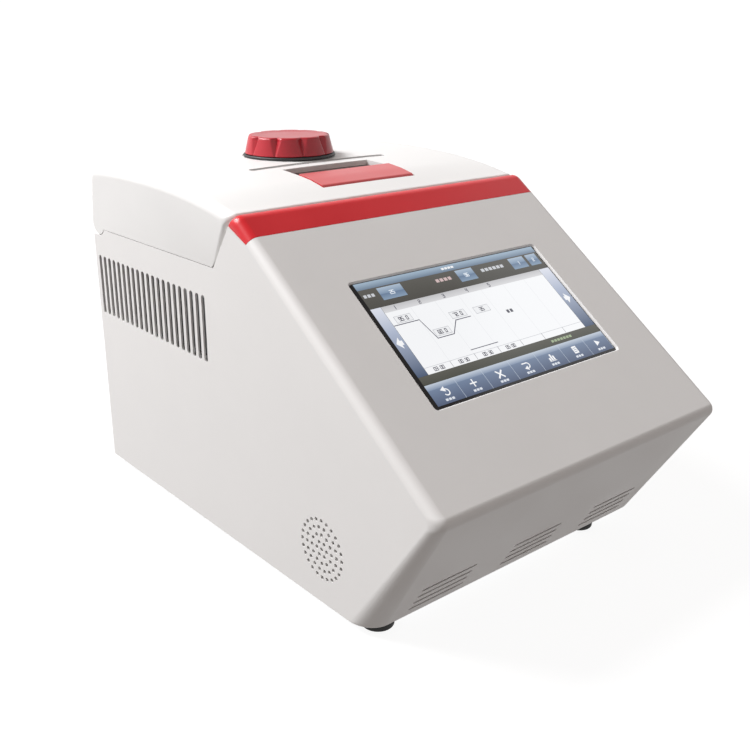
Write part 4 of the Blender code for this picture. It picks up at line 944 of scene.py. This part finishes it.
def draw_frame_of_picture(art):
    art.rect(1.8, 1.2, 158.9, 92.7, DARK, 0)
    art.rect(1.8, 1.2, 158.9, 6.3, SKY, 1, (0.15, 0.21, 0.30))
    art.words(72.0, 2.9, 4, 2.2, 1.6, WHITE)
    art.rect(1.8, 6.3, 158.9, 20.9, (0.095, 0.092, 0.082), 1, (0.060, 0.058, 0.050))
    art.words(3.4, 10.2, 3, 2.2, 2.3, PALE)
    art.words(61.4, 10.4, 4, 2.6, 2.5, (0.66, 0.50, 0.50))
    art.words(101.8, 10.2, 6, 2.7, 2.5, PALE)
    buttons = ((15.6, 34.4, "25"), (80.6, 95.4, "96"), (129.8, 144.0, "1"), (146.6, 156.6, "2"))
    for left, right, digits in buttons:
        art.rect(left, 7.2, right, 12.0, (0.42, 0.52, 0.64), 2, (0.20, 0.29, 0.42))
        art.rect(left, 12.0, right, 16.6, (0.13, 0.20, 0.32), 2, (0.24, 0.34, 0.47))
        art.number(digits, ((left + right) / 2, 12.0), 2.6, (0.80, 0.86, 0.93))


def draw_graph(art):
    columns = [9.8 + 20.05 * i for i in range(8)]
    art.rect(9.8, 20.9, 149.2, 25.6, (0.55, 0.55, 0.57), 2, (0.72, 0.72, 0.74))
    art.rect(9.8, 25.6, 149.2, 72.2, WHITE, 2)
    for i, x in enumerate(columns[1:-1]):
        art.rect(x - 0.12, 25.6, x + 0.12, 67.6, (0.80, 0.81, 0.84), 3)
        art.rect(x - 0.15, 67.6, x + 0.15, 72.0, INK, 4)
    for i in range(5):
        art.number(str(i + 1), (columns[i] + 9.0, 23.3), 2.6, INK)
    art.rect(9.8, 67.4, 149.2, 67.7, (0.55, 0.56, 0.60), 3)
    steps = [(10.2, 35.6), (29.6, 35.6), (33.3, 51.0), (46.6, 51.0), (54.8, 42.2), (67.4, 42.2)]
    art.line(steps, 0.60, (0.10, 0.10, 0.14))
    art.line([(49.8, 64.6), (72.8, 64.6)], 0.55, (0.10, 0.10, 0.14))
    labels = (("95.0", 19.8, 32.0), ("60.0", 39.9, 47.2), ("72.0", 59.6, 38.4), ("35", 79.6, 39.2))
    for text, x, y in labels:
        art.rect(x - 6.4, y - 2.6, x + 6.4, y + 2.6, (0.45, 0.46, 0.50), 3)
        art.rect(x - 6.1, y - 2.3, x + 6.1, y + 2.3, (0.90, 0.91, 0.93), 4)
        art.number(text, (x, y), 2.6, INK, 5)
    art.words(97.0, 44.4, 2, 2.2, 2.6, INK)
    for i, text in enumerate(("03:00", "00:30", "00:30", "05:00")):
        art.number(text, (columns[i] + 10.0, 69.9), 2.3, INK, 5)


def draw_side_bars(art):
    for left, right, tip, base in ((1.8, 9.6, 3.2, 6.6), (149.4, 158.9, 156.9, 153.0)):
        art.rect(left, 20.9, right, 40.0, (0.74, 0.77, 0.86), 2, (0.42, 0.48, 0.62))
        art.rect(left, 40.0, right, 72.2, (0.42, 0.48, 0.62), 2, (0.055, 0.090, 0.17))
        way = 1 if tip < base else -1
        tail = base + way * 1.6
        art.polygon([(tip, 47.6), (base, 43.4), (base, 51.8)] if way > 0 else
                    [(tip, 47.6), (base, 51.8), (base, 43.4)], WHITE)
        art.rect(min(base, tail), 46.0, max(base, tail), 49.2, WHITE, 3)


def draw_toolbar(art):
    art.rect(1.8, 72.4, 158.9, 78.2, (0.085, 0.085, 0.070), 1, (0.055, 0.058, 0.045))
    art.words(113.0, 74.2, 7, 2.2, 1.8, (0.36, 0.45, 0.28))
    edges = [1.8, 24.0, 46.0, 69.0, 92.0, 114.6, 138.0, 158.9]
    for left, right in zip(edges, edges[1:]):
        art.rect(left, 78.2, right, 82.0, BLUE_TOP, 1, (0.22, 0.29, 0.42))
        art.rect(left, 82.0, right, 92.7, (0.16, 0.22, 0.34), 1, BLUE_LOW)
        art.rect(right - 0.25, 78.2, right, 92.7, (0.55, 0.62, 0.72), 2)
        middle = (left + right) / 2
        art.words(middle - 3.4, 89.6, 3, 1.9, 1.5, (0.75, 0.79, 0.86))
    draw_icons(art, [(a + b) / 2 for a, b in zip(edges, edges[1:])])


def draw_icons(art, middles):
    y = 85.4
    back, plus, cross, loop, bars, sheet, play = middles
    art.disc_ring((back + 0.6, y + 0.2), 2.5, 0.8, -90, 150, WHITE)
    art.polygon([(back - 2.9, y - 1.9), (back + 0.6, y - 3.9), (back + 0.6, y - 0.1)], WHITE)
    art.rect(plus - 2.7, y - 0.45, plus + 2.7, y + 0.45, WHITE, 3)
    art.rect(plus - 0.45, y - 2.7, plus + 0.45, y + 2.7, WHITE, 4)
    art.line([(cross - 2.2, y - 2.2), (cross + 2.2, y + 2.2)], 1.1, WHITE)
    art.line([(cross - 2.2, y + 2.2), (cross + 2.2, y - 2.2)], 1.1, WHITE, 4)
    art.line([(loop - 2.6, y - 1.8), (loop + 1.2, y - 1.8)], 0.8, WHITE)
    art.disc_ring((loop + 0.8, y), 2.2, 0.8, -90, 90, WHITE)
    art.polygon([(loop - 2.6, y + 1.8), (loop + 0.4, y + 0.2), (loop + 0.4, y + 3.4)], WHITE, 4)
    for i, height in enumerate((2.2, 4.6, 3.2)):
        left = bars - 2.6 + i * 1.9
        art.rect(left, y + 2.2 - height, left + 1.4, y + 2.2, WHITE, 3)
    art.rect(bars - 3.0, y + 2.4, bars + 3.2, y + 2.8, WHITE, 3)
    art.rect(sheet - 2.0, y - 2.7, sheet + 2.0, y + 2.7, WHITE, 3)
    for i in range(3):
        art.rect(sheet - 1.3, y - 1.5 + i * 1.3, sheet + 1.3, y - 1.1 + i * 1.3, (0.16, 0.22, 0.34), 4)
    art.polygon([(play - 1.7, y + 2.2), (play + 2.4, y), (play - 1.7, y - 2.2)], WHITE)


def make_screen():
    depth = WALL + CLEAR
    low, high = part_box("touch_glass")
    half = (high.x - low.x) / 2
    half_height = half - (SCREEN_OPENING[0] - SCREEN_OPENING[1]) / 2
    glass = sweep("glass_panel", [rectangle((-half, -half_height), (half, half_height), 0.001)],
                  -depth - 0.0018, -depth, TOP)
    raised = (SCREEN_OPENING[0] / 2 - CLEAR, SCREEN_OPENING[1] / 2 - CLEAR)
    join(glass, sweep("glass_front", [rectangle((-raised[0], -raised[1]), raised, 0.0018)],
                      -depth - 0.0009, -PICTURE_DEPTH, TOP))
    glass.data.transform(slant_place(SCREEN_MIDDLE))
    finish(glass, 0.0002, "glass", "touch_glass")

    art = Picture()
    draw_frame_of_picture(art)
    draw_graph(art)
    draw_side_bars(art)
    draw_toolbar(art)
    mesh = bpy.data.meshes.new("screen_picture")
    art.shape.to_mesh(mesh)
    art.shape.free()
    picture = add_object("screen_picture", mesh)
    picture.data.transform(slant_place(SCREEN_MIDDLE) @ Matrix.Translation((0, 0, -PICTURE_DEPTH + 0.00004)))
    place(picture, "picture")


# ---------------- lid pieces
def lid_corners(inset=0.0, foot=LID_FOOT):
    """The lid from the side: front face, arched top, back, and the round heel about the hinge."""
    front, along = lid_front_line()
    front = front + Vector((inset, 0)) / math.sin(math.atan2(abs(along.y), abs(along.x)))
    front_line = (front, along)
    front_top = at_height(front_line, BROW_TOP[1] - 0.0002 - inset)
    corners = [(*at_height(front_line, foot), 0), (*front_top, 0.0005 if inset else 0.0022)]
    for i in range(LID_STATIONS):
        y = LID_FIRST_STATION + LID_STATION_STEP * i
        corners.append((y, lid_top(y) - inset, 0))
    corners.append((REAR - inset, lid_top(REAR) - inset, 0.006 - inset))
    drop = math.degrees(math.asin(min(1.0, (HINGE[1] - LID_FOOT) / HEEL_RADIUS)))
    if inset:
        corners += [(y, z, 0) for y, z in arc(HINGE, HEEL_RADIUS - inset, 360, 262, 16)]
        corners.append((HINGE[0] - 0.004, foot, 0))
    else:
        corners += [(y, z, 0) for y, z in arc(HINGE, HEEL_RADIUS, 360, 180 + drop, 24)]
    return corners


def latch_outline(spare, radius=0.0):
    """The opening for the latch: as wide as the paddle, and behind it stepped in on the right."""
    front = LATCH_PIN[0] - PADDLE_BARREL - PADDLE_GAP - spare
    back = POCKET_BACK + spare
    step = PADDLE_BACK + 0.0010
    wide = PADDLE_HALF + PADDLE_GAP + spare
    narrow = POCKET_RIGHT + spare
    corners = [(-wide, front, radius), (wide, front, radius), (wide, step, radius / 2),
               (narrow + 0.003, step, radius / 2), (narrow, back, radius), (-wide, back, radius)]
    return rounded(corners, COARSE)


def lid_room(name, inset):
    """The space inside the lid, open below."""
    room = sweep(name, [rounded(lid_corners(inset, LID_FOOT - 0.010))], -HALF + inset, HALF - inset, SIDE)
    return crown(room, inset)


def make_lid_cover():
    corners = lid_corners()
    roundings = [(0.0, 0.0)] * len(corners)
    back = LID_STATIONS + 2
    roundings[1:back] = [(LID_EDGE_RADIUS, LID_EDGE_RADIUS)] * (back - 1)
    roundings[0] = (0.0, LID_EDGE_RADIUS)
    roundings[back] = (LID_EDGE_RADIUS, 0.0)
    cover = rounded_prism("lid_skin", corners, roundings, HALF)
    crown(cover)
    seat = cylinder("knob_seat", (0, BLOCK_Y, KNOB_SEAT), (0, BLOCK_Y, KNOB_SEAT + 0.01),
                    SEAT_HIGH.x + 0.0008, 96)
    bush_hole = cylinder("bush_hole", (0, BLOCK_Y, 0.22), (0, BLOCK_Y, 0.26), 0.0103)
    groove = sweep("lid_groove", [rectangle((-0.0605, 0.0665), (0.0605, 0.0720), 0.0026)], 0.225, 0.26, TOP)
    opening = sweep("latch_opening", [latch_outline(0, 0.0006)], 0.222, 0.26, TOP)
    tools = [lid_room("lid_hollow", WALL), seat, bush_hole, groove, opening]
    for side in ("left", "right"):
        low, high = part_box(f"hinge_leaf_case_{side}")
        tools.append(box(f"hinge_notch_{side}", (low.x - 0.001, HINGE[0] - 0.0046, LID_FOOT - 0.010),
                         (high.x + 0.001, REAR + 0.002, HINGE[1] + 0.0040)))
    cut(cover, *tools)
    finish(cover, 0.00035, "lid", "lid_cover")


def make_paddle():
    """The pull-up paddle, with the arm under it that moves the hook."""
    pin_y, pin_z = LATCH_PIN
    thickness = 0.0024
    middle = (pin_y + PADDLE_BACK) / 2
    profile = arc(LATCH_PIN, PADDLE_BARREL, 290, 95, 24)
    for y in (lerp(pin_y, PADDLE_BACK, i / 8) for i in range(2, 9)):
        profile.append((y, lid_surface(y) + 0.0004))
    profile += [(y, lid_surface(y) - thickness) for y in (PADDLE_BACK, middle)]
    paddle = sweep("paddle_plate", [profile], -PADDLE_HALF, PADDLE_HALF, SIDE)
    low = PADDLE_LOW.z
    arm = [(pin_y, pin_z - 0.0015), (pin_y + 0.0030, pin_z - 0.0055), (0.0215, low), (0.0250, low),
           (0.0250, low + 0.0038), (pin_y + 0.0060, pin_z)]
    join(paddle, sweep("paddle_arm", [arm], -HALF_ARM, HALF_ARM, SIDE))
    finish(paddle, 0.0005, "paddle", "latch_paddle", segments=3)


def make_pocket():
    """The pocket that closes the lid under the paddle, with two lugs that hold the hook."""
    wall = 0.0020
    floor = POCKET_FLOOR
    beside = HALF_ARM + 0.0008
    pocket = sweep("latch_pocket", [latch_outline(wall, 0.001)], floor - wall, LID_PEAK, TOP)
    combine(pocket, [lid_room("pocket_limit", WALL + CLEAR)], "INTERSECT")
    hollow = sweep("pocket_hollow", [latch_outline(0, 0.0006)], floor, LID_PEAK + BEYOND, TOP)
    cut(pocket, hollow, box("arm_slot", (-beside, 0.0195, floor - 0.004), (beside, 0.0348, floor + 0.001)))
    y, z = JOINTS["hook_turn"]["pos_m"][1:]
    half_lug = 0.0045
    low = z - 0.0032
    outline = rounded([(y - half_lug, low, 0.003), (y + half_lug, low, 0.003),
                       (y + half_lug, floor - 0.001, 0), (y - half_lug, floor - 0.001, 0)], COARSE)
    lugs = []
    for side in (-1, 1):
        near, far = sorted((side * beside, side * (beside + 0.0030)))
        lugs.append(sweep(f"hook_lug_{side}", [outline], near, far, SIDE))
    join(pocket, *lugs)
    cut(pocket, cylinder("lug_bore", (-0.02, y, z), (0.02, y, z), 0.0017, 24))
    finish(pocket, 0.0003, "pocket", "latch_housing")


def knob_loop(radius, depth, half_angle, lobes=10, per_lobe=36):
    """Broad lobes with V-shaped grooves between them, which are half_angle degrees wide on each side."""
    points = []
    count = lobes * per_lobe
    for i in range(count):
        share = (i % per_lobe) / per_lobe
        from_groove = min(share, 1 - share) * 360 / lobes
        dip = depth * max(0.0, 1 - from_groove / half_angle)
        bulge = 0.0005 * math.sin(math.pi * share)
        angle = 2 * math.pi * i / count
        points.append(((radius - dip + bulge) * math.cos(angle), (radius - dip + bulge) * math.sin(angle)))
    return points


def make_knob():
    """A lobed hand knob: V grooves that open towards the top, a rounded rim and a shallow dished top."""
    low = KNOB_LOW.z
    high = KNOB_HIGH.z
    foot = KNOB_HIGH.x
    top = KNOB_TOP_RADIUS
    side_low, side_high = low + 0.0012, high - 0.0022
    # Height, radius, depth of the grooves, and half their width in degrees.
    levels = [(low, foot - 0.0006, 0.0004, 2.0), (low + 0.0004, foot - 0.0003, 0.0005, 2.2),
              (side_low, foot - 0.0005, 0.0007, 2.4)]
    for share in (i / 9 for i in range(1, 9)):
        levels.append((lerp(side_low, side_high, share), lerp(foot - 0.0005, top + 0.0012, share),
                       lerp(0.0007, 0.0030, share), lerp(2.4, 7.5, share)))
    for turn in (math.radians(angle) for angle in (0, 22, 45, 67, 90)):
        levels.append((side_high + 0.0020 * math.sin(turn), top - 0.0010 + 0.0022 * math.cos(turn),
                       0.0031 - 0.0012 * math.sin(turn), 7.5))
    levels += [(high - 0.0002, top - 0.0030, 0.0004, 6.0), (high - 0.0008, top - 0.0060, 0, 6.0),
               (high - 0.0009, top - 0.0120, 0, 6.0), (high - 0.0009, 0.0040, 0, 6.0)]
    shape = bmesh.new()
    stack_rings(shape, [[(a, BLOCK_Y + b, z) for a, b in knob_loop(*form)] for z, *form in levels])
    knob = from_bmesh("lobed_knob", shape)
    cut(knob, cylinder("knob_socket", (0, BLOCK_Y, low - 0.001), (0, BLOCK_Y, low + 0.0080), 0.0052))
    smooth(knob, 32)
    place(knob, "knob", "knob")


def make_seat_ring():
    """The dark ring that the knob turns on."""
    inner, outer = 0.0170, SEAT_HIGH.x
    top = SEAT_HIGH.z - 0.0004
    edge = 0.0008
    profile = [(inner, top), (outer - 0.0012, top)]
    profile += arc((outer - edge, SEAT_HIGH.z - edge), edge, 90, 0, 6)
    profile += [(outer, SEAT_LOW.z), (inner, SEAT_LOW.z)]
    seat = turned("seat_ring", profile, (0, BLOCK_Y, 0), 128, ring=True)
    shade(seat)
    place(seat, "black", "knob_seat_ring")


# ---------------- sample block and fans
def make_block():
    """The silver block with its grid of conical wells, each with a small lead-in."""
    low, high = BLOCK_LOW, BLOCK_HIGH
    block = sweep("silver_block", [rectangle((low.x, low.y), (high.x, high.y), 0.004)], low.z, high.z, TOP)
    wells = bmesh.new()
    pitch = 0.009
    levels = ((-0.0145, 0.0012), (-0.0020, 0.0030), (-0.0003, 0.0031), (0.0005, 0.0039))
    sides = 20
    for column in range(12):
        for row in range(8):
            x = (column - 5.5) * pitch
            y = BLOCK_Y + (row - 3.5) * pitch
            stack_rings(wells, [[(a, b, high.z + depth) for a, b in circle((x, y), radius, sides)]
                                for depth, radius in levels])
    cut(block, from_bmesh("well_cutter", wells))
    finish(block, 0.0002, "block", "sample_block")


def fan_blade(name, depth, tip=0.0357, steps=8):
    """One swept and arched blade, on a fan whose axis runs along Y."""
    shape = bmesh.new()
    grid = []
    for j in range(steps + 1):
        out = j / steps
        radius = lerp(0.0145, tip, out)
        row = []
        for k in range(steps + 1):
            across = lerp(-1, 1, k / steps)
            swing = math.radians(15) * across + math.radians(16) * out ** 1.3
            lift = -across * depth * 0.42 - 0.0012 * (1 - across ** 2)
            row.append(shape.verts.new((radius * math.cos(swing), lift, radius * math.sin(swing))))
        grid.append(row)
    for inner, outer in zip(grid, grid[1:]):
        for k in range(steps):
            shape.faces.new((inner[k], inner[k + 1], outer[k + 1], outer[k]))
    blade = from_bmesh(name, shape)
    thickness = blade.modifiers.new("thickness", "SOLIDIFY")
    thickness.thickness = 0.0010
    thickness.offset = 0
    return bake(blade)


def make_rotor(side, blades=7):
    """A fan rotor: a domed hub and curved blades."""
    node = f"fan_rotor_{side}"
    low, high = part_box(node)
    centre = Vector(JOINTS[f"fan_{side}_spin"]["pos_m"])
    depth = high.y - low.y
    half = depth / 2
    dome = [(0, half), (0.0135, half), (0.0150, half - 0.0015), (0.0150, -half), (0, -half)]
    pieces = [turned(f"rotor_hub_{side}", dome, centre, 64, aim=Matrix.Rotation(math.radians(-90), 4, "X"))]
    for i in range(blades):
        blade = fan_blade(f"rotor_blade_{side}_{i}", depth)
        blade.data.transform(Matrix.Translation(centre) @ Matrix.Rotation(2 * math.pi * i / blades, 4, "Y"))
        pieces.append(blade)
    rotor = merged(f"fan_wheel_{side}", pieces)
    smooth(rotor, 40)
    place(rotor, "black", node)


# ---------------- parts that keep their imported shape
def refined(node, look, width):
    """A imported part's own shape with its edges rounded."""
    piece = add_object(node + "_finished", NODES[node].data.copy())

    def flatten(shape):
        bmesh.ops.remove_doubles(shape, verts=shape.verts, dist=1e-6)
        bmesh.ops.dissolve_limit(shape, angle_limit=math.radians(0.5), verts=shape.verts, edges=shape.edges)

    edit(piece, flatten)
    finish(piece, width, look, node)


REFINED = (     # node, look, edge radius
    ("base_plate", "zinc", 0.0003), ("deck_panel", "grey", 0.0005), ("strike_plate", "steel", 0.0003),
    ("block_seal", "silicone", 0.0006), ("block_frame", "black", 0.0005),
    ("heat_sink", "aluminium", 0.0002), ("fan_shroud", "zinc", 0.0002),
    ("fan_frame_left", "black", 0.0004), ("fan_frame_right", "black", 0.0004),
    ("screen_bezel", "black", 0.0004), ("lcd_module", "zinc", 0.0004), ("display_board", "board", 0.0002),
    ("power_supply", "zinc", 0.0005), ("main_board", "board", 0.0003), ("speaker", "black", 0.0004),
    ("mains_inlet", "black", 0.0005), ("switch_housing", "black", 0.0004),
    ("usb_socket", "steel", 0.0002), ("hinge_leaf_case_left", "steel", 0.0002),
    ("hinge_leaf_case_right", "steel", 0.0002), ("power_rocker", "black", 0.0004),
    ("lid_liner", "grey", 0.0004), ("hinge_leaf_lid_left", "steel", 0.0002),
    ("hinge_leaf_lid_right", "steel", 0.0002), ("heated_plate", "aluminium", 0.0006),
    ("heater_blanket", "silicone", 0.0003), ("plate_carrier", "aluminium", 0.0003),
    ("latch_hook", "steel", 0.0004),
)
KEPT = {        # parts shown as they are, with a better material
    "steel": ("hinge_pin_left", "hinge_pin_right", "latch_pin", "hook_pin", "lid_screw", "screw_bush",
              "guide_post_left", "guide_post_right", "guide_spring_left", "guide_spring_right"),
    "zinc": ("rear_panel",),
    "ceramic": ("peltier_module_1", "peltier_module_2", "peltier_module_3", "peltier_module_4"),
}


def make_other_parts():
    for part in REFINED:
        refined(*part)
    for look, nodes in KEPT.items():
        for node in nodes:
            NODES[node].data.materials.clear()
            NODES[node].data.materials.append(MATERIALS[look])


# ---------------- camera, floor and light
def aim_at(thing, spot, target):
    thing.location = spot
    thing.rotation_euler = (Vector(target) - Vector(spot)).to_track_quat("-Z", "Y").to_euler()


def make_camera():
    azimuth = math.radians(-38.967)
    elevation = math.radians(19.046)
    roll = math.radians(-0.385)
    data = bpy.data.cameras.new("camera")
    data.sensor_width = 36.0
    data.lens = 46.36
    data.shift_x = 0.0335
    data.shift_y = -0.0271
    camera = add_object("camera", data)
    back = Vector((math.sin(azimuth) * math.cos(elevation), -math.cos(azimuth) * math.cos(elevation),
                   math.sin(elevation)))
    right = Vector((math.cos(azimuth), math.sin(azimuth), 0))
    up = back.cross(right)
    turned_right = right * math.cos(roll) + up * math.sin(roll)
    turned_up = up * math.cos(roll) - right * math.sin(roll)
    turn = Matrix((turned_right, turned_up, back)).transposed().to_4x4()
    camera.matrix_world = Matrix.Translation((-0.4254, -0.4892, 0.3358)) @ turn
    bpy.context.scene.camera = camera


def area_light(name, spot, target, size, power, colour=(1, 1, 1)):
    data = bpy.data.lights.new(name, "AREA")
    data.shape = "DISK"
    data.size = size
    data.energy = power
    data.color = colour
    aim_at(add_object(name, data), spot, target)


def make_studio():
    """A white bowl, flat under the machine and curving up far around it, a soft key light and a pale sky."""
    reach = 3.4
    bend = 1.4
    profile = [(reach, 3.6), (reach, bend)]
    profile += arc((reach - bend, bend), bend, 0, -90, 24)[1:]
    profile.append((0, 0))
    bowl = turned("floor", profile, (0, 0, -0.0002), 96)
    bowl.data.shade_smooth()
    bowl.data.materials.append(floor_material("pale_floor"))
    bowl.visible_diffuse = False
    world = bpy.data.worlds.new("studio")
    bpy.context.scene.world = world
    sky = Look(owner=world)
    sky.set(Color=(1.0, 0.915, 0.870, 1))
    height = sky.nodes.new("ShaderNodeSeparateXYZ")
    sky.join(sky.nodes.new("ShaderNodeTexCoord").outputs["Generated"], height.inputs["Vector"])
    sky.drive(sky.ramp(height.outputs["Z"], -0.6, 0.4, 0.20, 0.33), "Strength")
    area_light("key", (-1.35, 1.40, 2.13), (0, 0, 0.12), 1.5, 113, (0.98, 0.99, 1.0))
    bpy.context.scene.view_settings.view_transform = "Standard"


make_case()
make_band()
make_speaker_cloth()
make_feet()
make_screen()
make_lid_cover()
make_paddle()
make_pocket()
make_knob()
make_seat_ring()
make_block()
make_rotor("left")
make_rotor("right")
make_other_parts()
make_camera()
make_studio()
